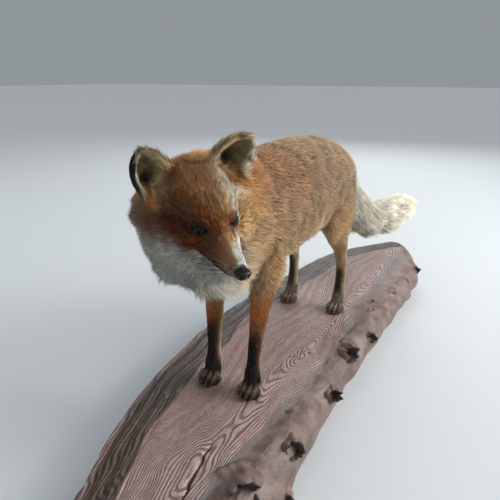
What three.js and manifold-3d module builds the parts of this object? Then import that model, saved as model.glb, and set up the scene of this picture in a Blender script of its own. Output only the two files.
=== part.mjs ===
// A life-size red fox, mounted standing on a half-log board, with its head turned to its left.
// Millimetres. X is the fox's left, -Y is ahead of it and Z is up. The origin is on the board's underside,
// midway between the fox's fore and hind feet. Every outline is that of the coat, not of the skin.
import * as THREE from "three";
import { mergeVertices } from "three/addons/utils/BufferGeometryUtils.js";
import Module from "manifold-3d";

const wasm = await Module();
wasm.setup();

// ---------------------------------------------------------------- driving dimensions
const BOARD_THICKNESS = 85;
const GAP = 0.4; // between pieces that touch
const STANCE = { foreY: -187, hindY: 190, foreX: 41, hindX: 60 }; // centres of the feet
const BELLY_CUT = 192; // the legs are parted from the trunk at this height
const WRIST_CUT = 46; // and the paws from the legs at this one
const HEAD = { at: [54, -312, 341], yaw: 61, pitch: 20, roll: 6.5 }; // midway between the eyes, in degrees

const NAPE_CUT = { facing: [0.55, -0.82, -0.15], behindEyes: 64 }; // between head and neck
const NECK_CUT = { facing: [-0.12, -1, 0.35], through: [0, -205, 330] }; // between neck and trunk
const TAIL_CUTS = [
  { facing: [0.25, 0.6, -0.75], through: [14, 352, 232] },
  { facing: [0.52, 0.85, 0.02], through: [72, 462, 147] },
];

// ---------------------------------------------------------------- materials
const paint = (color, roughness = 0.9) =>
  new THREE.MeshStandardMaterial({ color, roughness, metalness: 0 });
const COAT = {
  rufous: paint(0xa8683a),
  buff: paint(0xb89468),
  pale: paint(0xd9d3c4),
  dark: paint(0x2b2420),
};
const GLASS = paint(0x24150c, 0.1);
const LEATHER = paint(0x17181a, 0.45);
const HORN = paint(0x8d7c66, 0.5);
const WOOD = paint(0x8d7468, 0.8);

// ---------------------------------------------------------------- solids
// A geometry as a manifold solid, with its shared vertices merged.
function solid(geometry, matrix) {
  const bare = geometry.index ? geometry.toNonIndexed() : geometry.clone();
  bare.deleteAttribute("normal");
  bare.deleteAttribute("uv");
  if (matrix) bare.applyMatrix4(matrix);
  const merged = mergeVertices(bare, 1e-3);
  return new wasm.Manifold(
    new wasm.Mesh({
      numProp: 3,
      vertProperties: merged.attributes.position.array,
      triVerts: new Uint32Array(merged.index.array),
    }),
  );
}

function named(name, made, material) {
  const { numProp, numVert, vertProperties, triVerts } = made.getMesh();
  const points = new Float32Array(numVert * 3);
  for (let i = 0; i < numVert; i++)
    points.set(vertProperties.subarray(i * numProp, i * numProp + 3), i * 3);
  const geometry = new THREE.BufferGeometry()
    .setAttribute("position", new THREE.BufferAttribute(points, 3))
    .setIndex(new THREE.BufferAttribute(triVerts, 1));
  geometry.computeVertexNormals();
  const mesh = new THREE.Mesh(geometry, material);
  mesh.name = name;
  return mesh;
}

// The largest of a solid's separate bodies, which drops the crumbs that a cut can leave.
const largest = (made) => made.decompose().sort((a, b) => b.volume() - a.volume())[0];

// A solid cut in two by a plane through a point: first the part that the plane faces, then the rest.
function parted(made, facing, through) {
  const normal = new THREE.Vector3(...facing).normalize();
  const at = normal.dot(through);
  const ahead = made.trimByPlane(normal.toArray(), at + GAP / 2);
  const rest = made.trimByPlane(normal.clone().negate().toArray(), -at + GAP / 2);
  return [ahead, rest];
}

// A closed body through rings along a path. A station is [x, y, z, side, up, down, power, bend]: the ring's
// centre, half its width, its heights above and below the centre, 2 for an ellipse and more for a squarer
// ring, and how far its middle is pushed down, which makes an ear's cup. Up is across the path, near upright.
function loft(stations, { rings = 24, sides = 24, upright = [0, 0, 1], grow = 0 } = {}) {
  const full = stations.map(([x, y, z, side, up, down = up, power = 2, bend = 0]) => [
    x, y, z, side, up, down, power, bend,
  ]);
  const curve = (a, b, c) =>
    new THREE.CatmullRomCurve3(
      full.map((s) => new THREE.Vector3(s[a], s[b], s[c])),
      false,
      "catmullrom",
      0.5,
    );
  const path = curve(0, 1, 2);
  const sizes = curve(3, 4, 5);
  const forms = curve(6, 7, 6);
  const up0 = new THREE.Vector3(...upright);
  const points = [];
  for (let i = 0; i <= rings; i++) {
    const t = i / rings;
    const tangent = path.getTangent(t);
    const past = { 0: -grow, [rings]: grow }[i] ?? 0;
    const centre = path.getPoint(t).addScaledVector(tangent, past);
    const across = new THREE.Vector3().crossVectors(tangent, up0).normalize();
    const over = new THREE.Vector3().crossVectors(across, tangent).normalize();
    const [side, up, down] = sizes.getPoint(t).toArray();
    const [power, bend] = forms.getPoint(t).toArray();
    for (let k = 0; k < sides; k++) {
      const angle = (2 * Math.PI * k) / sides;
      const [c, s] = [Math.cos(angle), Math.sin(angle)];
      const round = (v) => Math.sign(v) * Math.abs(v) ** (2 / power);
      const high = (s > 0 ? up : down) + grow;
      const point = centre
        .clone()
        .addScaledVector(across, (side + grow) * round(c))
        .addScaledVector(over, high * round(s) - bend * s * s);
      points.push(...point);
    }
  }
  const ends = [0, 1].map((t) => {
    const past = t ? grow : -grow;
    points.push(...path.getPoint(t).addScaledVector(path.getTangent(t), past));
    return points.length / 3 - 1;
  });
  const faces = [];
  for (let k = 0; k < sides; k++) {
    const next = (k + 1) % sides;
    for (let i = 0; i < rings; i++) {
      const [a, b] = [i * sides + k, i * sides + next];
      faces.push(a, a + sides, b, b, a + sides, b + sides);
    }
    faces.push(ends[0], k, next, ends[1], rings * sides + next, rings * sides + k);
  }
  const geometry = new THREE.BufferGeometry()
    .setAttribute("position", new THREE.Float32BufferAttribute(points, 3))
    .setIndex(faces);
  return geometry;
}

const mirrored = (stations) => stations.map(([x, ...rest]) => [-x, ...rest]);
const onAxis = (stations) => stations.map((rest) => [0, ...rest]);

// ---------------------------------------------------------------- trunk and neck
const TRUNK = [
  // x, y, z, side, up, down
  [0, -299, 274, 9, 10, 12],
  [0, -289, 274, 36, 44, 54],
  [0, -258, 284, 56, 62, 76],
  [0, -222, 292, 66, 92, 86],
  [0, -170, 297, 77, 112, 94],
  [0, -100, 304, 82, 109, 104],
  [0, -20, 308, 83, 109, 106],
  [0, 60, 310, 82, 107, 106],
  [0, 130, 312, 81, 100, 104],
  [0, 185, 311, 80, 89, 92],
  [0, 232, 308, 74, 73, 80],
  [0, 270, 304, 57, 52, 60],
  [0, 294, 300, 30, 26, 30],
  [0, 301, 299, 8, 8, 8],
];
const NECK = [
  [0, -120, 312, 60, 84, 90],
  [0, -165, 322, 73, 93, 98],
  [-7, -212, 330, 78, 93, 108],
  [-17, -254, 337, 77, 87, 112],
  [-21, -292, 341, 72, 76, 116],
  [-16, -320, 340, 62, 56, 104],
  [-9, -338, 337, 38, 32, 76],
  [-6, -345, 335, 12, 10, 30],
];

// ---------------------------------------------------------------- head, in its own frame
// The origin is midway between the eyes, and the stations run from the nose backwards.
const HEAD_RINGS = [
  // y, z, side, up, down, power
  [-74, -29, 8, 8, 8],
  [-67, -29, 13, 12, 11, 2.2],
  [-50, -29, 17, 18, 14, 2.3],
  [-30, -28, 22, 24.5, 18, 2.2],
  [-12, -25, 30, 31, 27],
  [6, -20, 40, 40, 38],
  [26, -15, 49, 53, 48],
  [48, -11, 55, 63, 54],
  [70, -8, 56, 67, 56],
  [90, -8, 48, 58, 48],
  [106, -8, 28, 34, 30],
];
const CHEEK = [
  // x, y, z, side, up, down: the left ruff, from the corner of the mouth backwards
  [16, 6, -36, 12, 12, 14],
  [22, 20, -36, 24, 22, 28],
  [27, 42, -34, 31, 30, 38],
  [29, 64, -30, 31, 34, 40],
  [25, 86, -26, 22, 28, 30],
  [22, 96, -26, 8, 10, 10],
];
const THROAT = [
  // y, z, side, up, down
  [-26, -58, 8, 6, 7],
  [-8, -64, 20, 14, 22],
  [20, -72, 34, 26, 40],
  [50, -74, 42, 36, 50],
  [80, -64, 42, 40, 46],
  [98, -52, 22, 24, 24],
];
const JAW = [
  // y, z, side, up, down
  [-60, -41, 6, 4, 4],
  [-56, -42, 10, 6, 7],
  [-44, -44, 13, 8, 9],
  [-24, -46, 17, 10, 10],
  [0, -48, 24, 14, 14],
  [20, -48, 24, 12, 12],
];
const EYE = { x: 22, y: 3, z: -1, radius: 10.5 };
const SOCKET = { out: 9, width: 12, depth: 12, height: 7.5 }; // the hollow in the coat in front of each eye
const NOSE = [
  // y, z, side, up, down, power
  [-82, -24, 4, 3, 4],
  [-79, -24.5, 9, 6.5, 8, 2.4],
  [-72, -25, 10, 8, 9, 2.4],
  [-64, -24, 7, 6, 6],
];
const EARS = {
  left: { root: [35, 56, 37], tip: [82, 66, 78], looks: [0.1, -0.98, 0.1] },
  right: { root: [-49, 58, 29], tip: [-78, 68, 86], looks: [0.4, -0.88, 0.25] },
};
const EAR = [
  // share of the way to the tip, half-width, half-thickness, depth of the hollow
  [-0.2, 28, 9, 10],
  [0.1, 34, 7, 20],
  [0.35, 33, 5.5, 24],
  [0.6, 29, 4.5, 22],
  [0.82, 21, 4, 13],
  [0.95, 13, 3.5, 5],
  [1, 7, 2.5, 1],
];

// ---------------------------------------------------------------- legs, the left one of each pair
const FORE_LEG = [
  [46, -150, 330, 26, 40, 40],
  [50, -158, 262, 30, 42, 38],
  [50, -160, 222, 28, 33, 38],
  [47, -168, 184, 23, 26, 29],
  [44, -177, 130, 18, 20, 20],
  [42, -183, 85, 15, 16, 16],
  [41, -186, 60, 14, 15, 15],
  [41, -188, 30, 16, 18, 14],
  [41, -190, 8, 17, 20, 14],
  [41, -190, -12, 12, 14, 10],
];
const HIND_LEG = [
  [44, 200, 330, 30, 60, 50],
  [50, 190, 275, 33, 84, 56],
  [55, 182, 232, 30, 92, 46],
  [57, 180, 204, 26, 80, 32],
  [58, 183, 180, 22, 48, 25],
  [59, 190, 150, 18, 22, 20],
  [60, 200, 112, 15, 17, 17],
  [60, 200, 80, 14, 15, 15],
  [60, 196, 50, 14, 15, 15],
  [60, 192, 26, 16, 18, 15],
  [60, 190, 6, 17, 19, 14],
  [60, 190, -12, 12, 14, 10],
];
const CLAW = [
  // ahead of the toe's end, height, half-width, half-height
  [-5, 10, 2.6, 3.2],
  [3, 10, 2.2, 2.8],
  [8, 7, 1.5, 1.8],
  [12, 3.6, 0.7, 0.8],
];
// the four toes of a foot: sideways and forwards from its centre, then their size and height
const TOE = { spread: [-14, -5.2, 5.2, 14], ahead: [14, 22, 22, 14], radius: [8, 13, 10], height: 10 };

// ---------------------------------------------------------------- tail
const TAIL = [
  [0, 262, 345, 24, 24],
  [1, 292, 316, 32, 32],
  [7, 326, 264, 45, 45],
  [22, 370, 204, 55, 55],
  [48, 420, 166, 56, 56],
  [80, 474, 164, 53, 53],
  [108, 518, 174, 43, 43],
  [124, 542, 180, 24, 24],
  [130, 551, 182, 5, 5],
];

// ---------------------------------------------------------------- the fox
const headFrame = new THREE.Matrix4().makeRotationFromEuler(
  new THREE.Euler(
    THREE.MathUtils.degToRad(HEAD.pitch),
    THREE.MathUtils.degToRad(-HEAD.roll),
    THREE.MathUtils.degToRad(HEAD.yaw),
    "ZXY",
  ),
).setPosition(...HEAD.at);

const trunk = solid(loft(TRUNK, { rings: 18, sides: 18 }));
const trunkOuter = solid(loft(TRUNK, { rings: 18, sides: 18, grow: GAP }));
const neckBody = (grow) => solid(loft(NECK, { rings: 9, sides: 14, grow }));
const neck = neckBody(0);
const headBody = (grow) => {
  const shape = { rings: 6, sides: 10, grow };
  const cheeks = [CHEEK, mirrored(CHEEK)].map((path) => solid(loft(path, shape), headFrame));
  const skull = solid(loft(onAxis(HEAD_RINGS), { rings: 12, sides: 16, grow }), headFrame);
  const throat = solid(loft(onAxis(THROAT), shape), headFrame);
  return skull.add(cheeks[0]).add(cheeks[1]).add(throat);
};
const head = headBody(0);
const headOuter = headBody(GAP).add(neckBody(GAP));

const pieces = [];
const add = (name, made, material) => pieces.push(named(name, largest(made), material));

// An ellipsoid with the given centre and radii, in the fox's frame or in the head's.
function ball(centre, radii, frame = new THREE.Matrix4()) {
  const place = new THREE.Matrix4().makeTranslation(...centre).scale(new THREE.Vector3(...radii));
  return solid(new THREE.IcosahedronGeometry(1, 1), place.premultiply(frame));
}

function earBody({ root, tip, looks }) {
  const stations = EAR.map(([share, side, thick, hollow]) => {
    const at = root.map((v, i) => v + (tip[i] - v) * share);
    return [...at, side, thick, thick, 2, hollow];
  });
  return loft(stations, { rings: 8, sides: 14, upright: looks });
}

// Nose, eyes, jaw and ears are fitted into the head.
const noseBody = (grow) => solid(loft(onAxis(NOSE), { rings: 5, sides: 10, grow }), headFrame);
const eyeBody = (side, grow) => {
  const radius = EYE.radius + grow;
  return ball([side * EYE.x, EYE.y, EYE.z], [radius, radius, radius], headFrame);
};
const socketBody = (side) => {
  const centre = [side * (EYE.x + SOCKET.out), EYE.y - SOCKET.out, EYE.z];
  return ball(centre, [SOCKET.width, SOCKET.depth, SOCKET.height], headFrame);
};
let skull = head.subtract(noseBody(GAP));
for (const side of [1, -1]) skull = skull.subtract(eyeBody(side, GAP)).subtract(socketBody(side));
const nape = new THREE.Vector3(0, NAPE_CUT.behindEyes, 0).applyMatrix4(headFrame);
const [face] = parted(skull.add(neck), NAPE_CUT.facing, nape);
const [, neckStem] = parted(neck, NAPE_CUT.facing, nape);

add("head", face.subtract(trunkOuter), COAT.rufous);
add("nose", noseBody(0), LEATHER);
const jaw = solid(loft(onAxis(JAW), { rings: 6, sides: 10 }), headFrame);
add("lower_jaw", jaw.subtract(headOuter), COAT.pale);
const SIDES = [
  [1, "left"],
  [-1, "right"],
];
for (const [side, which] of SIDES) {
  add("eye_" + which, eyeBody(side, 0), GLASS);
  const ear = solid(earBody(EARS[which]), headFrame);
  add("ear_" + which, ear.subtract(headOuter), COAT.dark);
}

// Trunk and neck meet at a cut across the neck's root, and the legs leave them at the belly.
const legs = {};
for (const [side, which] of SIDES)
  for (const [end, stations] of Object.entries({ fore: FORE_LEG, hind: HIND_LEG })) {
    const path = side > 0 ? stations : mirrored(stations);
    legs[end + "_leg_" + which] = solid(loft(path, { rings: 12, sides: 9, upright: [0, -1, 0] }));
  }
const UP = [0, 0, 1];
const atHeight = (z) => new THREE.Vector3(0, 0, z);
let body = trunk.add(neckStem);
for (const leg of Object.values(legs)) body = body.add(leg);
const [torso] = parted(body, UP, atHeight(BELLY_CUT));
const [neckPiece, trunkPiece] = parted(torso, NECK_CUT.facing, new THREE.Vector3(...NECK_CUT.through));
add("neck", neckPiece, COAT.rufous);
add("trunk", trunkPiece, COAT.buff);

// A claw is a short curved cone that comes out of its toe.
function claw(x, y) {
  const rings = CLAW.map(([ahead, ...rest]) => [x, y - ahead, ...rest]);
  return solid(loft(rings, { rings: 3, sides: 6 }));
}

const toeBody = (x, y, grow) =>
  ball(
    [x, y, TOE.height],
    TOE.radius.map((r) => r + grow),
  );

for (const [name, leg] of Object.entries(legs)) {
  const side = name.endsWith("left") ? 1 : -1;
  const fore = name.startsWith("fore");
  const footX = side * (fore ? STANCE.foreX : STANCE.hindX);
  const footY = fore ? STANCE.foreY : STANCE.hindY;
  const nameOf = (word) => name.replace("_leg_", "_" + word + "_");
  const [, belowBelly] = parted(leg, UP, atHeight(BELLY_CUT));
  const [shin, end] = parted(belowBelly, UP, atHeight(WRIST_CUT));
  add(name, shin, COAT.rufous);
  let foot = end.trimByPlane(UP, GAP);
  const toes = TOE.spread.map((across, i) => [footX + across, footY - TOE.ahead[i]]);
  for (const [x, y] of toes) foot = foot.add(toeBody(x, y, 0).trimByPlane(UP, GAP));
  toes.forEach(([x, y], i) => {
    let nail = claw(x, y - TOE.radius[1] + 2);
    for (const other of toes) nail = nail.subtract(toeBody(...other, GAP));
    add(nameOf("claw") + "_" + (i + 1), nail, HORN);
  });
  add(nameOf("paw"), foot, COAT.dark);
}

// The tail hangs from the rump in three lengths.
const tail = solid(loft(TAIL, { rings: 12, sides: 12, upright: [1, 0, 0] })).subtract(trunkOuter);
const [tailCut, tipCut] = TAIL_CUTS.map(({ facing, through }) => [facing, new THREE.Vector3(...through)]);
const [beyond, tailRoot] = parted(tail, ...tailCut);
const [tailTip, tailMiddle] = parted(beyond, ...tipCut);
add("tail_root", tailRoot, COAT.buff);
add("tail_middle", tailMiddle, COAT.pale);
add("tail_tip", tailTip, COAT.pale);

const fox = new THREE.Group();
fox.position.z = BOARD_THICKNESS;
fox.add(...pieces);

// ---------------------------------------------------------------- the board
const BOARD = [
  // y, then the left and right edges of the flat top
  [-664, 66, 78],
  [-648, 34, 106],
  [-600, 0, 130],
  [-530, -36, 140],
  [-463, -68, 140],
  [-390, -98, 137],
  [-315, -122, 132],
  [-240, -138, 130],
  [-150, -150, 127],
  [-50, -160, 124],
  [50, -163, 126],
  [140, -154, 130],
  [240, -141, 134],
  [340, -127, 137],
  [440, -112, 141],
  [537, -90, 142],
  [620, -52, 128],
  [690, -2, 104],
  [740, 34, 80],
  [758, 50, 64],
];
const STUBS = [
  // y, height, radius: the stumps of small branches along the right-hand edge
  [560, 60, 14],
  [160, 62, 11],
  [68, 66, 15],
  [-104, 62, 12],
  [-250, 62, 15],
  [-372, 58, 12],
];
const WANE = { left: 8, right: 36 }; // how far the rounded sides stand out past the flat top
function board() {
  const curve = new THREE.CatmullRomCurve3(
    BOARD.map(([y, left, right]) => new THREE.Vector3(left, y, right)),
    false,
    "catmullrom",
    0.5,
  );
  const steps = 20;
  const section = [
    // share of the wane, height
    [0, BOARD_THICKNESS],
    [0.55, BOARD_THICKNESS - 10],
    [0.92, BOARD_THICKNESS - 26],
    [1, BOARD_THICKNESS - 44],
    [0.75, 20],
    [0.2, 0],
  ];
  const points = [];
  for (let i = 0; i <= steps; i++) {
    const { x: left, y, z: right } = curve.getPoint(i / steps);
    for (const [share, height] of section) points.push(right + WANE.right * share, y, height);
    for (const [share, height] of [...section].reverse()) points.push(left - WANE.left * share, y, height);
  }
  const count = section.length * 2;
  const faces = [];
  for (let i = 0; i < steps; i++)
    for (let k = 0; k < count; k++) {
      const [a, b] = [i * count + k, i * count + ((k + 1) % count)];
      faces.push(a, b, a + count, b, b + count, a + count);
    }
  for (let k = 1; k < count - 1; k++) {
    faces.push(0, k + 1, k);
    faces.push(steps * count, steps * count + k, steps * count + k + 1);
  }
  const plank = new THREE.BufferGeometry()
    .setAttribute("position", new THREE.Float32BufferAttribute(points, 3))
    .setIndex(faces);
  const edgeAt = (y) => {
    const next = BOARD.findIndex((station) => station[0] > y);
    const [before, after] = [BOARD[next - 1], BOARD[next]];
    return before[2] + ((after[2] - before[2]) * (y - before[0])) / (after[0] - before[0]);
  };
  let made = solid(plank);
  for (const [y, height, radius] of STUBS) {
    const x = edgeAt(y) + WANE.right;
    const rings = [
      [x - 30, y - 4, height - 8, radius * 1.3, radius],
      [x - 12, y, height, radius, radius * 0.9],
      [x - 2, y + 2, height + 3, radius * 0.75, radius * 0.7],
    ];
    made = made.add(solid(loft(rings, { rings: 2, sides: 7 })));
  }
  return made;
}

const part = new THREE.Group();
part.add(fox, named("base_board", board(), WOOD));
export default part;
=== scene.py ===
"""A life-size red fox in winter coat, mounted standing on a live-edge board. Metres; X is the fox's left,
-Y is ahead of it and Z is up. One skin takes the place of the nodes of flesh, and the coat over it is solid
tufts that are grown from the skin's own triangles."""

import math

import bmesh
import bpy
import numpy as np
from mathutils import Matrix, Vector
from mathutils.bvhtree import BVHTree
from mathutils.kdtree import KDTree


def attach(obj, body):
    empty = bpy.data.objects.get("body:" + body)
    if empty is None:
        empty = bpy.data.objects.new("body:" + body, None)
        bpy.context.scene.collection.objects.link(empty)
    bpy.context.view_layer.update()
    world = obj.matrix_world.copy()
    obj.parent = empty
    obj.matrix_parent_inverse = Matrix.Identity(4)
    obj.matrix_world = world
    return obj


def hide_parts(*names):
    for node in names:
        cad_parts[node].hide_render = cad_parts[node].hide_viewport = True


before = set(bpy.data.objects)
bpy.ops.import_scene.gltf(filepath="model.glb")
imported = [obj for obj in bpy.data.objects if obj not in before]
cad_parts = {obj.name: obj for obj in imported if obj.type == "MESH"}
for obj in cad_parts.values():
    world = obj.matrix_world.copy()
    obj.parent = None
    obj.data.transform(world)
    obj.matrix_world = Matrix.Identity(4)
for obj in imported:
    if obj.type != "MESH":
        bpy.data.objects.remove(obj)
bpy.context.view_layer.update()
bpy.ops.object.select_all(action="DESELECT")
scene = bpy.context.scene
MM = 0.001

# ---------------------------------------------------------------- camera
LOOKS_DOWN = 19.74  # degrees below level
LOOKS_ASIDE = 29.4  # degrees from +Y towards -X
camera_data = bpy.data.cameras.new("camera")
camera = bpy.data.objects.new("camera", camera_data)
scene.collection.objects.link(camera)
camera.location = (0.392, -0.823, 0.609)
camera.rotation_euler = (math.radians(90 - LOOKS_DOWN), 0, math.radians(LOOKS_ASIDE))
camera_data.sensor_width = 36
camera_data.lens = 34.92
camera_data.clip_start = 0.01
scene.camera = camera

# ---------------------------------------------------------------- places, in millimetres
SIDES = {"left": 1, "right": -1}  # the fox's own sides, and the sign of X there
BOARD_TOP = 85
HEAD_AT = (54, -312, 341 + BOARD_TOP)  # midway between the eyes
HEAD_TURN = (61, 20, 6.5)  # to the fox's left, nose down, and tipped to its right, in degrees
EYE_AT = (22, 3, -1)  # the left eye's centre, in the head's frame
EYE_RADIUS = 10.5
OPENING = {"half": 9.8, "upper": 5.3, "lower": 4.8}  # of the lids: half its length, and its two heights
EYES = {
    # by the sign of X: how far out the iris reaches, how thick the rim of the lids is, and how dark the
    # skin of the lids and the line drawn out from the eye's corners are
    1: {"iris": 11, "rim": 0.45, "lids": 0.3, "line": 0.3},
    -1: {"iris": 8.2, "rim": 0.6, "lids": 1, "line": 0.95},
}
NOSE_TIP = (0, -84, -27)
FEET = {"fore": (41, -187), "hind": (60, 190)}
TOES = (-14, -5.2, 5.2, 14)  # across the foot, from its middle
TOE_GAPS = (-9.6, 0, 9.6)
TAIL = [
    # x, y, height above the board, radius of the coat
    (0, 262, 345, 24),
    (1, 292, 316, 32),
    (7, 326, 264, 45),
    (22, 370, 204, 55),
    (48, 420, 166, 56),
    (80, 474, 164, 53),
    (108, 518, 174, 43),
    (124, 542, 180, 24),
    (130, 551, 182, 5),
]
TAIL_STEPS = 80
EARS = {
    # root, tip and the way the hollow looks, in the head's frame
    "left": ((35, 56, 37), (82, 66, 78), (0.1, -0.98, 0.1)),
    "right": ((-49, 58, 29), (-78, 68, 86), (0.4, -0.88, 0.25)),
}
EAR_WIDTH = {-0.2: 28, 0.35: 33, 0.6: 29, 0.82: 21, 1: 7}  # half its width, by the share of its length
RIM_AT = {"left": 0.92, "right": 0.62}  # how far out the pale rim lies, as a share of the ear's half width


# ---------------------------------------------------------------- sums on arrays of points
WAVES = 14  # in each kind of noise


def unit(vectors):
    return vectors / np.maximum(np.linalg.norm(vectors, axis=-1, keepdims=True), 1e-12)


def ease(value, start, end):
    """0 before start, 1 after end, and a soft step between."""
    share = np.clip((value - start) / (end - start), 0, 1)
    return share * share * (3 - 2 * share)


def bump(value, centre, reach):
    return np.exp(-(((value - centre) / reach) ** 2))


def dot(a, b):
    return np.sum(a * b, axis=-1)


def flattened(vectors, normals):
    """Vectors laid into the surface, at unit length."""
    return unit(vectors - dot(vectors, normals)[:, None] * normals)


def smoothed(line, passes):
    """A line of values, or of points, without its wiggles. Its ends stay."""
    line = line.copy()
    for _ in range(passes):
        line[1:-1] = 0.5 * line[1:-1] + 0.25 * (line[2:] + line[:-2])
    return line


def read_off(value, table):
    """The value that a table of {place: value} has at a place, or between two."""
    return np.interp(value, list(table), list(table.values()))


def between_rows(table, count, columns):
    """A table's columns filled in between its rows, and how far down the table each new row lies."""
    table = np.array(table, float)
    path = np.linspace(0, len(table) - 1, count)
    return path, np.stack([np.interp(path, range(len(table)), table[:, k]) for k in range(columns)], axis=1)


def round_about(sides):
    """Angles evenly round a circle."""
    return np.arange(sides) * 2 * math.pi / sides


def ripple(points, size, seed):
    """Smooth noise of about -1 to 1 over points, in lumps of about the given size in the points' own unit."""
    draw = np.random.default_rng(seed)
    pull = unit(draw.normal(size=(WAVES, 3))) * draw.uniform(0.6, 1.5, (WAVES, 1))
    pull = pull * 2 * math.pi / (2.2 * size)
    shift = draw.uniform(0, 2 * math.pi, WAVES)
    return np.sin(points @ pull.T + shift).sum(axis=1) * math.sqrt(1.3 / WAVES)


HEAD_MATRIX = np.array(
    Matrix.Rotation(math.radians(HEAD_TURN[0]), 3, "Z")
    @ Matrix.Rotation(math.radians(HEAD_TURN[1]), 3, "X")
    @ Matrix.Rotation(math.radians(-HEAD_TURN[2]), 3, "Y")
)


def to_head(points):
    """Points in metres in the head's frame, in millimetres: x to its left, y backwards, z up."""
    return (points / MM - np.array(HEAD_AT)) @ HEAD_MATRIX


def from_head(points):
    return (np.asarray(points, float) @ HEAD_MATRIX.T + np.array(HEAD_AT)) * MM


# ---------------------------------------------------------------- meshes
def points_of(mesh):
    got = np.empty(len(mesh.vertices) * 3, np.float32)
    mesh.vertices.foreach_get("co", got)
    return got.reshape(-1, 3).astype(float)


def set_points(mesh, points):
    mesh.vertices.foreach_set("co", np.ascontiguousarray(points, np.float32).ravel())


def triangles_of(mesh):
    mesh.calc_loop_triangles()
    got = np.empty(len(mesh.loop_triangles) * 3, np.int32)
    mesh.loop_triangles.foreach_get("vertices", got)
    return got.reshape(-1, 3)


def mesh_object(name, points, faces):
    """A smooth-shaded object from arrays of points and of faces with the same number of corners."""
    mesh = bpy.data.meshes.new(name)
    count, corners = faces.shape
    mesh.vertices.add(len(points))
    set_points(mesh, points)
    mesh.loops.add(count * corners)
    mesh.loops.foreach_set("vertex_index", np.ascontiguousarray(faces, np.int32).ravel())
    mesh.polygons.add(count)
    mesh.polygons.foreach_set("loop_start", np.arange(0, count * corners, corners, dtype=np.int32))
    mesh.polygons.foreach_set("use_smooth", np.ones(count, bool))
    mesh.update(calc_edges=True)
    made = bpy.data.objects.new(name, mesh)
    scene.collection.objects.link(made)
    return made


def shell_faces(rows, around, ends=2):
    """Triangles of a tube whose points are counted ring by ring. The points that close its ends come last."""
    i, k = np.meshgrid(np.arange(rows - 1), np.arange(around), indexing="ij")
    a, b = i * around + k, i * around + (k + 1) % around
    c, d = b + around, a + around
    halves = [np.stack(corners, axis=-1).reshape(-1, 3) for corners in ((a, b, c), (a, c, d))]
    ring = np.arange(around)
    following = (ring + 1) % around
    last = (rows - 1) * around
    first_end, last_end = (np.full(around, rows * around + k) for k in (0, 1))
    caps = [(following, ring, first_end), (last + ring, last + following, last_end)]
    return np.vstack(halves + [np.stack(cap, axis=1) for cap in caps[:ends]])


def work_on(obj):
    bpy.ops.object.select_all(action="DESELECT")
    obj.select_set(True)
    bpy.context.view_layer.objects.active = obj


def edited(obj, operator, **settings):
    """Runs an edit-mode operator on the whole of an object."""
    work_on(obj)
    bpy.ops.object.mode_set(mode="EDIT")
    bpy.ops.mesh.select_all(action="SELECT")
    operator(**settings)
    bpy.ops.object.mode_set(mode="OBJECT")
    return obj


def merged(obj):
    return edited(obj, bpy.ops.mesh.remove_doubles, threshold=1e-5)


def applied(obj, kind, **settings):
    work_on(obj)
    modifier = obj.modifiers.new(kind.lower(), kind)
    for key, value in settings.items():
        setattr(modifier, key, value)
    bpy.ops.object.modifier_apply(modifier=modifier.name)
    return obj


def joined(name, objects):
    work_on(objects[0])
    for obj in objects:
        obj.select_set(True)
    bpy.ops.object.join()
    objects[0].name = name
    objects[0].data.name = name
    return objects[0]


def sphere(name, segments, rings, radius):
    bpy.ops.object.select_all(action="DESELECT")
    bpy.ops.mesh.primitive_uv_sphere_add(segments=segments, ring_count=rings, radius=radius)
    made = bpy.context.object
    made.name = name
    made.data.name = name
    return made


def paint(obj, name, values):
    """Writes a colour, or a number, for each vertex."""
    mesh = obj.data
    if values.ndim == 2:
        layer = mesh.color_attributes.new(name, "FLOAT_COLOR", "POINT")
        with_alpha = np.ones((len(values), 4), np.float32)
        with_alpha[:, :3] = values
        layer.data.foreach_set("color", with_alpha.ravel())
    else:
        layer = mesh.attributes.new(name, "FLOAT", "POINT")
        layer.data.foreach_set("value", np.ascontiguousarray(values, np.float32))


def set_map(obj, per_corner):
    layer = obj.data.uv_layers.new(name="OFBake")
    layer.data.foreach_set("uv", np.ascontiguousarray(per_corner, np.float32).ravel())


def unwrapped(points, faces):
    """The corners of faces on a flat unwrap of their own shape, as (faces, 3, 2)."""
    made = mesh_object("flat", points, faces)
    edited(made, bpy.ops.uv.smart_project, angle_limit=1.15, island_margin=0.004, scale_to_bounds=True)
    got = np.empty(len(faces) * 6, np.float32)
    made.data.uv_layers.active.data.foreach_get("uv", got)
    mesh = made.data
    bpy.data.objects.remove(made)
    bpy.data.meshes.remove(mesh)
    return got.reshape(-1, 3, 2)


def rod(name, path, radii, sides):
    """A closed round rod through the points of path, with a radius at each."""
    along = unit(np.gradient(path, axis=0))
    up = np.where(np.abs(along[:, 2:3]) > 0.9, [[1.0, 0, 0]], [[0, 0, 1.0]])
    across = unit(np.cross(along, up))
    over = np.cross(across, along)
    turns = round_about(sides)
    ring = across[:, None] * np.cos(turns)[:, None] + over[:, None] * np.sin(turns)[:, None]
    points = (path[:, None] + ring * radii[:, None, None]).reshape(-1, 3)
    return mesh_object(name, np.vstack([points, path[:1], path[-1:]]), shell_faces(len(path), sides))


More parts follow.
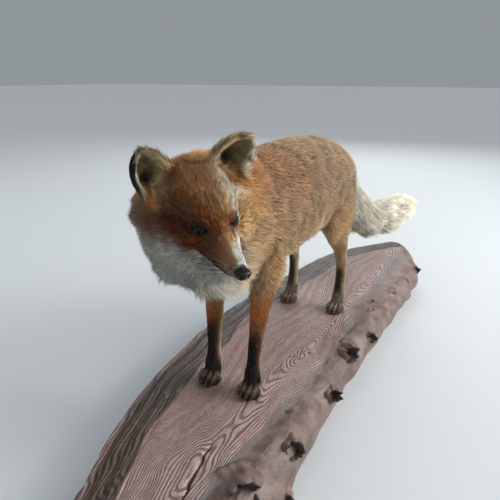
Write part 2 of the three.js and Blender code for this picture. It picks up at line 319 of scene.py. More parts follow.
# ---------------------------------------------------------------- materials
class Wire:
    """A socket of a material. Sums on it add Math nodes."""

    def __init__(self, tree, socket):
        self.tree = tree
        self.socket = socket

    def sum(self, operation, *others):
        node = self.tree.nodes.new("ShaderNodeMath")
        node.operation = operation
        for slot, value in zip(node.inputs, others):
            connect(self.tree, value, slot)
        return Wire(self.tree, node.outputs[0])

    def __add__(self, other):
        return self.sum("ADD", self, other)

    def __radd__(self, other):
        return self.sum("ADD", other, self)

    def __sub__(self, other):
        return self.sum("SUBTRACT", self, other)

    def __rsub__(self, other):
        return self.sum("SUBTRACT", other, self)

    def __mul__(self, other):
        return self.sum("MULTIPLY", self, other)

    def __rmul__(self, other):
        return self.sum("MULTIPLY", other, self)


def socket_name(word):
    return word.replace("_", " ").title().replace("Ior", "IOR")


def connect(tree, value, slot):
    if isinstance(value, Wire):
        tree.links.new(value.socket, slot)
    else:
        slot.default_value = value


class Finish:
    """A material with one Principled shader, built from nodes."""

    def __init__(self, name, **constants):
        self.material = bpy.data.materials.new(name)
        self.material.use_nodes = True
        self.tree = self.material.node_tree
        self.shader = self.tree.nodes["Principled BSDF"]
        self.set(**constants)

    def node(self, kind, settings=None, sockets=None, output=0):
        """Any node: its type, its settings, the values or links of its sockets, and the output wanted."""
        made = self.tree.nodes.new("ShaderNode" + kind)
        for key, value in (settings or {}).items():
            if key == "stops":
                ramp = made.color_ramp
                while len(ramp.elements) < len(value):
                    ramp.elements.new(0.5)
                for stop, (position, colour) in zip(ramp.elements, value):
                    stop.position = position
                    stop.color = (*colour, 1)
            else:
                setattr(made, key, value)
        for key, value in (sockets or {}).items():
            connect(self.tree, value, made.inputs[key])
        return Wire(self.tree, made.outputs[output])

    def place(self):
        return self.node("TexCoord", output="Object")

    def stretched(self, scale):
        """The object's coordinates, scaled along each axis."""
        return self.node("Mapping", {}, {"Vector": self.place(), "Scale": scale})

    def noise(self, scale, detail=3, where=None, rough=0.5):
        sockets = {"Vector": where or self.place(), "Scale": scale, "Detail": detail, "Roughness": rough}
        return self.node("TexNoise", {}, sockets)

    def cells(self, scale):
        return self.node("TexVoronoi", {}, {"Vector": self.place(), "Scale": scale})

    def written(self, name, output="Fac"):
        return self.node("Attribute", {"attribute_name": name}, output=output)

    def ramp(self, value, stops):
        return self.node("ValToRGB", {"stops": stops}, {"Fac": value})

    def step(self, value, start, end, low=0.0, high=1.0):
        """A soft step of a value between start and end."""
        sockets = {"Value": value, "From Min": start, "From Max": end, "To Min": low, "To Max": high}
        return self.node("MapRange", {"interpolation_type": "SMOOTHSTEP"}, sockets)

    def mix(self, share, first, second, way="MIX"):
        """Two colours mixed. The sockets are named by number, as each is there once for each kind of data."""
        settings = {"data_type": "RGBA", "blend_type": way}
        return self.node("Mix", settings, {0: share, 6: first, 7: second}, output=2)

    def times(self, colour, value):
        """A colour made lighter or darker by a number."""
        grey = self.node("CombineColor", {}, {0: value, 1: value, 2: value})
        return self.mix(1.0, colour, grey, "MULTIPLY")

    def relief(self, height, depth, strength=1.0):
        """The normal of a surface with bumps of the given depth in metres."""
        return self.node("Bump", {}, {"Height": height, "Distance": depth, "Strength": strength})

    def set(self, **sockets):
        for key, value in sockets.items():
            connect(self.tree, value, self.shader.inputs[socket_name(key)])

    def cover(self, *pieces):
        for piece in pieces:
            piece.data.materials.append(self.material)


def tint(red, green, blue):
    """A linear colour from display values of 0 to 255."""
    shares = [value / 255 for value in (red, green, blue)]
    return tuple(((v + 0.055) / 1.055) ** 2.4 if v > 0.04 else v / 12.92 for v in shares)


def shade(red, green, blue):
    return (*tint(red, green, blue), 1)


RUST = np.array(tint(160, 88, 40))
DEEP_RUST = np.array(tint(92, 42, 18))
TAN = np.array(tint(192, 152, 100))
GRIZZLE = np.array(tint(150, 126, 102))
BUFF = np.array(tint(208, 184, 146))
CREAM = np.array(tint(230, 217, 194))
WHITE = np.array(tint(226, 226, 216))
SOOT = np.array(tint(28, 24, 25))
SMOKE = np.array(tint(92, 82, 74))
OLIVE = np.array(tint(150, 132, 92))
TOE = np.array(tint(172, 150, 130))


# ---------------------------------------------------------------- skin
FLESH = ["head", "lower_jaw", "neck", "trunk", "tail_root", "tail_middle", "tail_tip"]
FLESH += ["ear_" + side for side in SIDES]
FLESH += [f"{end}_{part}_{side}" for end in FEET for part in ("leg", "paw") for side in SIDES]
VOXEL = 3.3 * MM
KEPT = 0.42  # share of the plain parts' faces that the skin keeps
# the parts of it that stay fine: the face, reaches round the eyes, ears and toes, and what is low on the legs
FACE = {"back": 26, "low": -62, "aside": 60}
EYE_REACHES = (17, 12.5)
EAR_REACH = 42
TOE_REACH = 22
LOW = 42


def neighbours(faces, count):
    """The ends of the faces' edges, taken both ways round, and for each vertex how many edges end on it."""
    pairs = np.vstack([faces[:, [0, 1]], faces[:, [1, 2]], faces[:, [2, 0]]])
    pairs = np.unique(np.sort(pairs, axis=1), axis=0)
    ends = np.concatenate([pairs[:, 0], pairs[:, 1]])
    others = np.concatenate([pairs[:, 1], pairs[:, 0]])
    return ends, others, np.bincount(ends, minlength=count)


def added_up(index, rows, count):
    """For each vertex the sum of the rows that have its index."""
    return np.stack([np.bincount(index, weights=column, minlength=count) for column in rows.T], axis=1)


def averaged(values, links):
    """Each vertex's mean over its neighbours."""
    ends, others, shares = links
    flat = values.reshape(len(values), -1)
    total = added_up(ends, flat[others], len(flat))
    return (total / np.maximum(shares, 1)[:, None]).reshape(values.shape)


def spread(values, links, passes):
    for _ in range(passes):
        values = 0.5 * values + 0.5 * averaged(values, links)
    return values


def evened(points, links, passes):
    """Bumps of a few edges' width taken out, without loss of size."""
    for _ in range(passes):
        points = points + 0.5 * (averaged(points, links) - points)
        points = points - 0.52 * (averaged(points, links) - points)
    return points


def outward(points, faces):
    """The way that the skin looks at each vertex."""
    a, b, c = (points[faces[:, k]] for k in range(3))
    return unit(added_up(faces.ravel(), np.repeat(np.cross(b - a, c - a), 3, axis=0), len(points)))


def refined(obj, wanted):
    """Faces whose centres are wanted are cut in four."""
    body = bmesh.new()
    body.from_mesh(obj.data)
    centres = np.array([face.calc_center_median() for face in body.faces])
    chosen = wanted(centres)
    edges = {edge for face, yes in zip(body.faces, chosen) if yes for edge in face.edges}
    bmesh.ops.subdivide_edges(body, edges=list(edges), cuts=1, use_grid_fill=True)
    bmesh.ops.triangulate(body, faces=[face for face in body.faces if len(face.verts) > 4])
    body.to_mesh(obj.data)
    body.free()


def near_eye(points, reach):
    head = to_head(points)
    centres = [np.array(EYE_AT) * (sign, 1, 1) for sign in SIDES.values()]
    return np.minimum(*(np.linalg.norm(head - centre, axis=1) for centre in centres)) < reach


def near_face(points):
    x, y, z = to_head(points).T
    return (y < FACE["back"]) & (z > FACE["low"]) & (np.abs(x) < FACE["aside"])


def near_ears(points):
    head = to_head(points)
    middles = [np.array(root) * 0.45 + np.array(tip) * 0.55 for root, tip, _ in EARS.values()]
    return np.any([np.linalg.norm(head - middle, axis=1) < EAR_REACH for middle in middles], axis=0)


def on_the_foot(points):
    """For each foot, how far points lie to the left of its middle and ahead of it, in millimetres."""
    x, y = points[:, 0] / MM, points[:, 1] / MM
    return [(x - sign * foot_x, foot_y - y) for foot_x, foot_y in FEET.values() for sign in SIDES.values()]


def near_toes(points):
    near = [np.hypot(across, ahead - 18) < TOE_REACH for across, ahead in on_the_foot(points)]
    return np.any(near, axis=0) & (points[:, 2] < (BOARD_TOP + TOE_REACH) * MM)


def detailed(points):
    return near_face(points) | near_ears(points) | (points[:, 2] < (BOARD_TOP + LOW) * MM)


flesh_points = []
flesh_faces = []
flesh_owner = []
for number, name in enumerate(FLESH + ["eye_left", "eye_right"]):
    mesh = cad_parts[name].data
    flesh_faces.append(triangles_of(mesh) + sum(len(p) for p in flesh_points))
    flesh_points.append(points_of(mesh))
    owner = number if number < len(FLESH) else FLESH.index("head")  # the eyes fill the head's sockets
    flesh_owner.append(np.full(len(flesh_faces[-1]), owner))
flesh_points = np.vstack(flesh_points)
flesh_faces = np.vstack(flesh_faces)
flesh_owner = np.concatenate(flesh_owner)
flesh_tree = BVHTree.FromPolygons(flesh_points.tolist(), flesh_faces.tolist())

skin = merged(mesh_object("skin", flesh_points, flesh_faces))
applied(skin, "REMESH", mode="VOXEL", voxel_size=VOXEL)
plain = ~detailed(points_of(skin.data))
plain_group = skin.vertex_groups.new(name="plain")
plain_group.add(np.flatnonzero(plain).tolist(), 1.0, "REPLACE")
applied(skin, "DECIMATE", ratio=KEPT, vertex_group="plain")
refined(skin, detailed)
refined(skin, lambda centres: near_eye(centres, EYE_REACHES[0]) | near_toes(centres))
refined(skin, lambda centres: near_eye(centres, EYE_REACHES[1]))
applied(skin, "TRIANGULATE")
skin.vertex_groups.clear()

points = points_of(skin.data)
faces = triangles_of(skin.data)
links = neighbours(faces, len(points))
owner = np.array([flesh_owner[flesh_tree.find_nearest(Vector(p))[2]] for p in points])


def on(*names):
    """1 for the vertices that lie on these nodes, else 0."""
    chosen = [k for k, name in enumerate(FLESH) if name.startswith(names)]
    return np.isin(owner, chosen).astype(float)


ON = {part: on(part) for part in ("ear", "neck", "trunk", "tail", "fore_leg", "hind_leg")}
ON |= {"head": on("head", "lower_jaw"), "leg": on("fore_leg", "hind_leg"), "paw": on("fore_paw", "hind_paw")}


def by_part(**values):
    """For each vertex the value, or the row of values, of the part that it lies on."""
    total = 0
    for part, value in values.items():
        total = total + (ON[part][:, None] if np.ndim(value) == 2 else ON[part]) * value
    return total


def rows_of(x, y, z):
    """A row for each vertex, from numbers or from values for each."""
    return np.stack([np.broadcast_to(value, len(points)) for value in (x, y, z)], axis=1)


fine = spread(np.clip(ON["ear"] + ON["paw"], 0, 1), links, 4)[:, None]
points = evened(points, links, 26) * (1 - fine) + evened(points, links, 6) * fine

hx, hy, hz = to_head(points).T
height = points[:, 2] / MM - BOARD_TOP
side_of = np.sign(points[:, 0])

# the tail's own path: how far along it a vertex is, and its radius and direction there
tail_line = between_rows(np.array(TAIL, float) + (0, 0, BOARD_TOP, 0), TAIL_STEPS, 4)[1]
step = np.arange(TAIL_STEPS - 2)
tail_line = spread(tail_line, neighbours(np.stack([step, step + 1, step + 2], axis=1), TAIL_STEPS), 2)
nearest = np.argmin(((points[:, None] / MM - tail_line[:, :3]) ** 2).sum(axis=2), axis=1)
tail_share = nearest / (TAIL_STEPS - 1)
tail_radius = tail_line[nearest, 3]
tail_lie = unit(np.gradient(tail_line[:, :3], axis=0))[nearest]

# ---------------------------------------------------------------- how deep the coat is
cheek = ease(hy, 8, 48) * ease(-hz, -14, 22)
under_jaw = 8 * ease(-hz, 34, 60) * ease(-hx, -8, 22) * ease(hy, -30, 10)
depth = by_part(
    head=1.3 + 2.2 * ease(hy, -20, 20) + 5.5 * cheek + 4 * ease(hy, 60, 95) + under_jaw,
    ear=1,
    neck=7,
    trunk=6,
    tail=0.34 * tail_radius * ease(tail_radius, 2, 20),
    leg=2.2 + 1.8 * ease(height, 60, 130) + 4 * ease(height, 140, 215),
    paw=1.3,
)
depth = spread(depth, links, 14) * MM
DEPTH_STEPS = 4
for _ in range(DEPTH_STEPS):
    normals = spread(outward(points, faces), links, 3)
    points = points - unit(normals) * (depth / DEPTH_STEPS)[:, None]
    points = points + (1 - fine) * 0.5 * (spread(points, links, 1) - points)

# ---------------------------------------------------------------- ears, cupped and with a raised rim
ear_share = np.zeros(len(points))
ear_edge = np.zeros(len(points))
ear_inside = np.zeros(len(points))
normals = outward(points, faces)
head = to_head(points)
for which, (root, tip, looks) in EARS.items():
    ear_side = on("ear_" + which) > 0
    long = np.linalg.norm(np.array(tip, float) - root)
    axis = (np.array(tip, float) - root) / long
    looks = unit(np.array(looks) - np.dot(looks, axis) * axis)
    across = np.cross(axis, looks)
    across = across * np.sign(across[0] * root[0])  # towards the ear's outer edge
    along = (head - np.array(root)) @ axis / long
    edge = (head - np.array(root)) @ across / read_off(along, EAR_WIDTH)
    facing = ease(dot(normals, looks @ HEAD_MATRIX.T) + 0.5 * ease(-edge, 0.1, 0.6), -0.15, 0.35)
    ear_share = np.where(ear_side, along, ear_share)
    ear_edge = np.where(ear_side, edge, ear_edge)
    ear_inside = np.where(ear_side, facing, ear_inside)
    free = ease(along, 0.05, 0.4) * ear_side
    cup = 5.5 * free * np.clip(1 - edge**2, 0, 1) * (1 - 0.7 * ease(along, 0.7, 1.0))
    curl = 3.0 * free * ease(np.abs(edge), 0.7, 1.0)
    ridge = 2.2 * free * facing * bump(edge, RIM_AT[which], 0.1)
    head = head + looks * (curl - cup + ridge)[:, None]
points = from_head(head)


# ---------------------------------------------------------------- eyes and their lids
def eye_frame(sign):
    """An eye's centre, then the ways it looks, to its outer corner and up its lids, in the head's frame."""
    look = unit(np.array([sign * 0.62, -0.76, 0.17]))
    corner = np.array([sign * 0.74, 0.60, 0.04])
    corner = unit(corner - dot(corner, look) * look)
    upper = np.cross(look, corner) * sign
    upper = upper if upper[2] > 0 else -upper
    return np.array(EYE_AT) * (sign, 1, 1), look, corner, upper


def lid_height(across, above):
    """How high the opening between the lids is above or below its middle line."""
    full = 1 - np.clip(np.abs(across) / OPENING["half"], 0, 1) ** 2
    return np.where(above > 0, OPENING["upper"], OPENING["lower"]) * full ** np.where(across < 0, 1.25, 0.95)


def lid_gap(across, above):
    """How far a point in the plane of the lids is outside the opening between them."""
    beyond = np.maximum(np.abs(across) - OPENING["half"], 0)
    return np.where(beyond > 0, np.hypot(beyond, above), np.abs(above) - lid_height(across, above))


def from_eye(head, sign):
    """From an eye to points of the head: the offset, the unit way there and the gap outside the lids."""
    centre, _, corner, upper = eye_frame(sign)
    way = unit(head - centre)
    return head - centre, way, lid_gap(dot(way, corner) * EYE_RADIUS, dot(way, upper) * EYE_RADIUS)


EYE_HIDDEN = EYE_RADIUS - 2.2  # how far from the eye's centre the skin runs behind the glass
head = to_head(points)
for sign in SIDES.values():
    centre, look, corner, upper = eye_frame(sign)
    off, way, gap = from_eye(head, sign)
    distance = np.linalg.norm(off, axis=1)
    edge = EYE_RADIUS + 0.9 + 0.9 * bump(gap, 1.7, 1.3)
    brow = 1.7 * bump(gap, 5.5, 2.6) * (dot(way, upper) > 0)
    lidded = np.maximum(edge + (distance - edge) * ease(gap, 1.5, 11), edge) + brow
    lidded = np.where(gap < 0.7, EYE_HIDDEN + (lidded - EYE_HIDDEN) * ease(gap, 0, 0.7), lidded)
    share = ease(dot(way, look), 0.0, 0.35) * (distance < 30)
    head = centre + way * (distance + (lidded - distance) * share)[:, None]
points = from_head(head)

# ---------------------------------------------------------------- toes
normals = outward(points, faces)
toe_groove = np.zeros(len(points))
toe_swell = np.zeros(len(points))
low = points[:, 2] < (BOARD_TOP + 24) * MM
for across, ahead in on_the_foot(points):
    near = (np.abs(across) < 26) & (ahead > -8) & (ahead < 42) & low
    for middle in TOE_GAPS:
        groove = bump(across, middle * (0.85 + 0.006 * ahead), 1.5) * ease(ahead, 2, 13)
        toe_groove = np.maximum(toe_groove, near * groove)
    for middle in TOES:
        toe_swell = np.maximum(toe_swell, near * bump(across, middle, 3.6) * bump(ahead, 18, 11))
points = points + normals * ((1.6 * toe_swell - 2.2 * toe_groove) * MM)[:, None]
points[:, 2] = np.maximum(points[:, 2], (BOARD_TOP + 0.2) * MM)

# ---------------------------------------------------------------- lie of the coat
normals = outward(points, faces)
head = to_head(points)
hx, hy, hz = head.T
lx, ly = points[:, 0] / MM, points[:, 1] / MM
throat_hair = ease(-hz, 40, 74)
chest = ease(-ly, 262, 318)
head_lie = unit(head - np.array(NOSE_TIP))
head_lie[:, 2] -= 0.45 * cheek + 0.7 * throat_hair
head_lie[:, 2] += 0.25 * ease(hz, 0, 30)
ear_lie = np.zeros_like(points)
ear_rim = np.zeros(len(points))
ear_back = np.zeros(len(points))
for which, (root, tip, _) in EARS.items():
    ear_side = on("ear_" + which)
    ear_lie += ear_side[:, None] * (unit(np.array(tip, float) - root) @ HEAD_MATRIX.T)
    ear_rim += ear_side * bump(ear_edge, RIM_AT[which] + 0.02, 0.1) * ease(ear_share, 0.0, 0.2)
    ear_back += ear_side * ease(ear_edge, RIM_AT[which] + 0.06, RIM_AT[which] + 0.16)
lie = by_part(
    head=unit(head_lie @ HEAD_MATRIX.T),
    ear=ear_lie,
    neck=unit(rows_of(0.06, 0.85 - 0.65 * chest, -0.42 - 0.5 * chest)),
    trunk=unit(rows_of(0, 1, -0.42)),
    tail=tail_lie,
    leg=unit(rows_of(0, 0.12 + 0.5 * ease(height, 130, 260), -1)),
    paw=unit(rows_of(0, -0.7, -0.5)),
)
for _ in range(9):
    lie = flattened(spread(lie, links, 2), normals)

# ---------------------------------------------------------------- markings, the same on skin and coat
wander = ripple(points, 16 * MM, 5)
fleck = ripple(points, 5 * MM, 6)
broad = ripple(points, 45 * MM, 9)


def layered(tone, *layers):
    """A colour with others laid over it one by one, each by its own share."""
    tone = np.broadcast_to(tone, (len(points), 3))
    for colour, share in layers:
        tone = tone + (colour - tone) * np.clip(share, 0, 1)[:, None]
    return tone


# The head is rust above and white below a line that runs back along each side. On the left of the muzzle it
# is higher than on the right. Heights by places, in the head's frame.
WHITE_RIGHT = {-84: -35, -60: -38, -30: -42, 0: -46, 30: -42, 60: -35, 100: -30}
WHITE_LEFT = {-84: -14, -60: -13, -40: -12, -20: -10, -8: -12, 2: -34, 12: -42, 60: -38, 100: -30}
crest = -2 - 4 * ease(-hy, 10, 40)
white_right, white_left = read_off(hy, WHITE_RIGHT), read_off(hy, WHITE_LEFT)
white_line = white_right + (white_left - white_right) * ease(hx, crest - 3, crest + 8)
soft_edge = 3 + 18 * ease(hy, -24, 20) + 5 * ease(hx, crest, crest + 10)
below = ease((white_line - hz + 2.5 * wander + 1.5 * fleck) / soft_edge, -0.9, 1.1)
crown = ease(hz, -4, 22) * ease(hy, -34, 6)
# the left of the head, where painted light is laid on
lit_side = ease(hx, -22, 26)
# the right of the face, painted darker in part as shade
shaded_right = 1 - ease(hx, -4, 4)
reach = np.linalg.norm(head - np.array(NOSE_TIP), axis=1)
fan = (head - np.array(NOSE_TIP)) / reach[:, None] * 95
streaks = ripple(np.stack([fan[:, 0], fan[:, 2], 0.14 * reach], axis=1), 4.2, 8) + 0.4 * fleck
above_brow = ease(hz, 8, 34) * ease(hy, 0, 24)
pale_and_lit_side = ease(hx + 5 * streaks, -2, 26) * ease(hz, -6, 8) * ease(hy, -12, 16)
tear_line = bump(np.abs(hx), 17, 11) * bump(hy, -22, 26) * bump(hz, -18, 16)
stop = bump(hx, -4, 9) * bump(hy, -4, 22) * ease(hz, -16, 2)
tan_edge = ease((white_line + 12 - hz) / 13, -0.1, 1.0) * ease(hx, crest - 2, crest + 10)
tan_edge = tan_edge * ease(-hy, 6, 24)
far_cheek = ease(hx, 22, 34) * ease(hy, 4, 18) * ease(-hz, 6, 18)
eye_patch = np.exp(-(np.linalg.norm((head - (32, 4, -2)) / (10, 9, 13), axis=1) ** 4))
tone_head = layered(
    # the crown and the brow, with pale streaks; the deep rust over the right side is painted shade, and the
    # tan on the crown's left side is painted light
    RUST * 0.86,
    (DEEP_RUST * 0.86, 0.8 * ease(-hx, 2, 28) + 0.25 * streaks),
    (TAN, crown * (0.02 + 0.58 * lit_side + streaks * (0.12 + 0.32 * lit_side))),
    (RUST * 1.12, 0.55 * above_brow),
    (TAN, (0.3 + 0.25 * streaks) * above_brow),
    # the pale left side, partly pale fur and partly painted light, and the cheeks, where the grey on the
    # right cheek is painted shade on the white
    (layered(BUFF, (CREAM, ease(hx, 14, 32))), 0.9 * pale_and_lit_side),
    (GRIZZLE, 0.7 * cheek * ease(-hz, 14, 40) * (1 - ease(hx, 0, 20))),
    (TAN, 0.9 * ease(hy, 4, 22) * ease(hx, 10, 26) * ease(-hz, -14, 6)),
    # the dark lines ahead of the eyes, the muzzle, and the right of the ruff; the smoke and grey on the right
    # side are partly painted shade
    (DEEP_RUST * 0.72, 0.9 * tear_line + 0.4 * stop),
    (SMOKE * 1.25, 0.7 * ease(-hy, 30, 62) * ease(-hz, 14, 26) * shaded_right),
    (TAN, 0.75 * bump(hx, 5, 6) * ease(-hy, 4, 34) * ease(hz, -26, -16)),
    (GRIZZLE * 1.2, 0.8 * ease(hy, 52, 84) * ease(-hz, -26, 4) * ease(-hx, 0, 30)),
    (TAN * 1.08, 0.85 * tan_edge),
    (GRIZZLE * 0.85, 0.3 * ease(-hy, 14, 44)),
    (GRIZZLE, 0.45 * ease(-hy, 34, 60) * ease(-hz, -2, 22) * shaded_right),
    # the white below, greyer low down under the muzzle as painted shade, the tan behind it, and the patch
    # outside the left eye, partly painted light on its lit edge
    (layered(WHITE, (WHITE * 0.66, ease(-hz, 30, 58))), below),
    (TAN, 0.85 * far_cheek),
    (WHITE, eye_patch),
    (BUFF, 0.6 * ease(hy, 34, 56) * ease(np.abs(hx), 26, 48) * bump(hz, 26, 24)),
)
for sign in SIDES.values():
    _, look, corner, upper = eye_frame(sign)
    off, way, gap = from_eye(head, sign)
    distance = np.linalg.norm(off, axis=1)
    close = (distance < 22) * ease(dot(way, look), 0, 0.4)
    outwards = dot(off, corner)
    line = dot(off, upper) - 1.2 - 0.05 * outwards
    line = bump(line, 0, 3.2 - 0.07 * np.abs(outwards)) * (distance < 32)
    line = line * ease(np.abs(outwards), 7, 10) * (1 - ease(np.abs(outwards), 13, 30))
    tone_head = layered(
        tone_head,
        (DEEP_RUST * 0.7, close * (1 - ease(gap, 1.5, 4.5)) * 0.7),
        (SOOT, EYES[sign]["lids"] * close * (1 - ease(gap, 1.3, 2.8))),
        (SOOT * 1.3, line * EYES[sign]["line"] * (0.25 + 0.75 * ease(outwards, -4, 4))),
    )
# the dark middle low in the ear's hollow is painted shade
hollow = np.exp(-(((ear_edge - 0.05) / 0.38) ** 2 + ((ear_share - 0.22) / 0.24) ** 2))
inner_ear = layered(
    OLIVE,
    # painted shade deep in the hollow
    (SOOT, 1.1 * hollow),
    (BUFF, 0.6 * ease(-ear_edge + 0.15 * fleck, 0.25, 0.8)),
    (RUST, 0.75 * (1 - ease(ear_share, 0.02, 0.3)) * ease(ear_edge, 0, 0.6)),
    (SOOT, ear_back * ease(ear_share, 0.12, 0.4)),
    # the pale fringe along the rim; on the left ear, far out at the edge, it is partly painted rim light
    (CREAM, 1.2 * ear_rim),
)
tone_ear = layered(
    SOOT,
    (OLIVE * 0.9, 0.85 * ease(-ear_edge + 0.1 * fleck, 0.35, 0.8)),
    (RUST * 0.8, (1 - ease(ear_share, 0.05, 0.3)) * (1 - ear_inside)),
    (inner_ear, ear_inside),
)

up_share = normals[:, 2]
back = ease(up_share, 0.1, 0.8)
under = ease(-up_share + 0.15 * wander, 0.25, 0.75)
upper_side = ease(up_share + 0.2 * wander, -0.3, 0.5)
breast = 0.8 * ease(-ly, 170, 250) * ease(300 - height, 0, 60)
tone_trunk = layered(
    GRIZZLE,
    (BUFF, 0.28 + 0.2 * wander + 0.14 * broad + 0.3 * ease(-ly, 60, 200) * (1 - back)),
    (TAN * 1.05, 0.85 * ease(315 - height, 0, 80) * (0.85 + 0.3 * wander)),
    (RUST, 0.1 + 0.42 * upper_side * ease(-ly, -80, 160) + 0.12 * broad),
    (BUFF * 1.08, np.maximum(under, breast)),
    # the cream rump, its rear edge partly painted rim light
    (CREAM, 0.6 * ease(ly, 165, 265) * (1 - 0.4 * back)),
)
throat = ease(-ly - 0.6 * np.maximum(lx, 0), 205, 262) * ease(335 - height, 10, 60)
tone_neck = layered(
    TAN,
    (RUST, 0.05 + 0.4 * ease(height, 300, 380) + 0.2 * wander),
    (BUFF * 1.08, ease(-ly, 200, 280) * 0.75 * ease(340 - height, 0, 60) + 0.5 * under),
    (WHITE * 0.84, throat * 0.85),
)

ahead_share, outer_share = -normals[:, 1], normals[:, 0] * side_of
# the backs of the legs and paws: pale hair, and lighter still as painted light where the lamps at the right
# and back fall; the share that reaches round to the outer sides is painted light
pale_and_lit_rear = ease(normals[:, 1] + 0.1 * fleck, -0.05, 0.5)
lit_outer_rear = ease(normals[:, 1] + 0.55 * np.abs(normals[:, 0]) + 0.12 * fleck, 0.1, 0.65)
stocking = ease(136 + 12 * wander - height, -10, 10) * (1 - lit_outer_rear)
stripe = ease(120 + 12 * wander - height, -6, 12) * ease(ahead_share + 0.15 * fleck, 0.4, 0.75)
tone_fore = layered(
    RUST * 1.7,
    (DEEP_RUST * 1.2, 0.12 * ease(ahead_share, -0.25, 0.35)),
    (TAN, 0.6 * (side_of < 0) * ease(height, 130, 165)),
    (TAN, 0.5 * lit_outer_rear),
    (CREAM, 0.9 * pale_and_lit_rear * ease(175 - height, 0, 60)),
    (SOOT, stocking),
    (TAN, 0.25 * ease(height, 125, 150) + 0.4 * ease(height, 172, 235)),
)
tone_hind = layered(
    TAN * 1.15,
    (BUFF * 1.1, 0.35 + 0.3 * wander),
    (BUFF, 0.6 * ease(height, 120, 220) + 0.4 * lit_outer_rear),
    (CREAM, 0.85 * pale_and_lit_rear * ease(190 - height, 0, 40) + 0.3 * ease(-outer_share, 0.0, 0.6)),
    (SOOT, 1.2 * stripe * ease(height, 14, 30)),
)
hind_share = ease(ly, 0, 60)
tone_paw = layered(
    layered(SOOT, (SMOKE * 0.9, 0.35 + 0.35 * fleck)),
    (layered(TOE * 1.1, (SMOKE, 0.2 + 0.35 * fleck)), 0.9 * hind_share),
    (CREAM, 0.8 * pale_and_lit_rear),
    # the tops of the toes, paler as painted highlight
    (TOE * 1.12, (0.65 + 0.35 * hind_share) * toe_swell * ease(up_share, -0.6, 0.4)),
    (SOOT, toe_groove),
)
tone_tail = layered(
    WHITE,
    (BUFF, 0.3 + 0.2 * wander),
    (TAN, 0.1 * bump(tail_share, 0.5, 0.16) * ease(wander, -0.2, 0.8)),
    # grey at the tail's root, and on its underside as painted shade
    (GRIZZLE, 0.3 * (1 - ease(tail_share, 0.0, 0.2)) + 0.1 * ease(-up_share + 0.2 * wander, 0.1, 0.7)),
    (CREAM * 1.08, ease(tail_share, 0.6, 0.85)),
)

tone = by_part(
    head=tone_head,
    ear=tone_ear,
    neck=tone_neck,
    trunk=tone_trunk,
    tail=tone_tail,
    fore_leg=tone_fore,
    hind_leg=tone_hind,
    paw=tone_paw,
)
# markings run into each other over a few hairs' length, but the face and feet stay crisp
crisp = np.clip(ON["head"] * ease(-hy, -30, 0) + ON["paw"] + ON["ear"] * 0.6, 0, 1)
crisp = spread(crisp, links, 3)[:, None]
tone = np.clip(spread(tone, links, 10) * (1 - crisp) + spread(tone, links, 1) * crisp, 0, 1)


# ---------------------------------------------------------------- what the tufts are like over each part
def worn(**values):
    """A value for each vertex from those of the parts, run together across their borders."""
    return spread(by_part(**values), links, 8)


muzzle = 1 - ease(hy, -40, 14)
nape = ease(hz, 4, 26)
belly = ease(-up_share, 0.2, 0.8)
down = ease(-up_share, 0.25, 0.8)
hanging = ease(-ly, 205, 258) * ease(335 - height, 0, 60)
hang_rise = 42 * hanging * down
leg_length = 5.5 + 5 * ease(height, 70, 150) + 9 * ease(height, 150, 215)
face_length = 12.5 - 8.7 * muzzle + 8 * cheek * (1 - 0.85 * ease(hx, 0, 22))
face_length = face_length + (3 + 5 * nape) * ease(hy, 40, 78) + 10 * throat_hair * (0.3 + 0.7 * down)
tuft_length = MM * worn(
    head=face_length,
    ear=5 + 7 * ear_inside + 4 * ear_rim + 9 * ease(-ear_edge, 0.3, 0.9),
    neck=24 + 12 * hanging,
    trunk=24 + 8 * belly + 12 * hanging * down,
    tail=34,
    leg=leg_length,
    paw=8.5,
)
tuft_width = MM * worn(
    head=0.62 + 0.3 * cheek,
    ear=0.62,
    neck=0.95,
    trunk=0.95,
    tail=1.05,
    leg=0.7 + 0.35 * ease(height, 150, 215),
    paw=0.6,
)
# in degrees off the skin
tuft_rise = worn(
    head=14 - 5 * ease(hy, 40, 70) + 13 * ease(hy, 48, 78) * nape + 26 * throat_hair * down,
    ear=12 + 14 * ear_inside,
    neck=15 + hang_rise,
    trunk=12.5 + 6 * belly + hang_rise,
    tail=27,
    leg=13,
    paw=15,
)
# the share of tufts whose tips may be pale or dark
grizzled = worn(
    head=0.04 + 0.95 * crown * (0.3 + 0.7 * ease(hx, -26, 4)),
    ear=0.15,
    neck=0.5,
    trunk=0.9,
    tail=0.3,
    leg=0.35,
    paw=0.3,
)
bare_nose = np.linalg.norm(head - (0, -72, -25), axis=1) < 11
sole = height < 1.0
bare = (bare_nose | sole).astype(float)
for sign in SIDES.values():
    off, way, gap = from_eye(head, sign)
    close = (np.linalg.norm(off, axis=1) < 20) * (dot(way, eye_frame(sign)[1]) > 0.15)
    bare = np.maximum(bare, close * (1 - ease(gap, 1.0, 1.8)))
    tuft_length = tuft_length * (1 - 0.45 * close * (1 - ease(gap, 1.5, 7)))

# ---------------------------------------------------------------- the skin piece
SKIN_TONE = 0.8  # darker than the coat over it
set_points(skin.data, points)
skin.data.update()
skin.data.shade_smooth()
paint(skin, "coat_tone", tone * SKIN_TONE)
set_map(skin, unwrapped(points, faces))

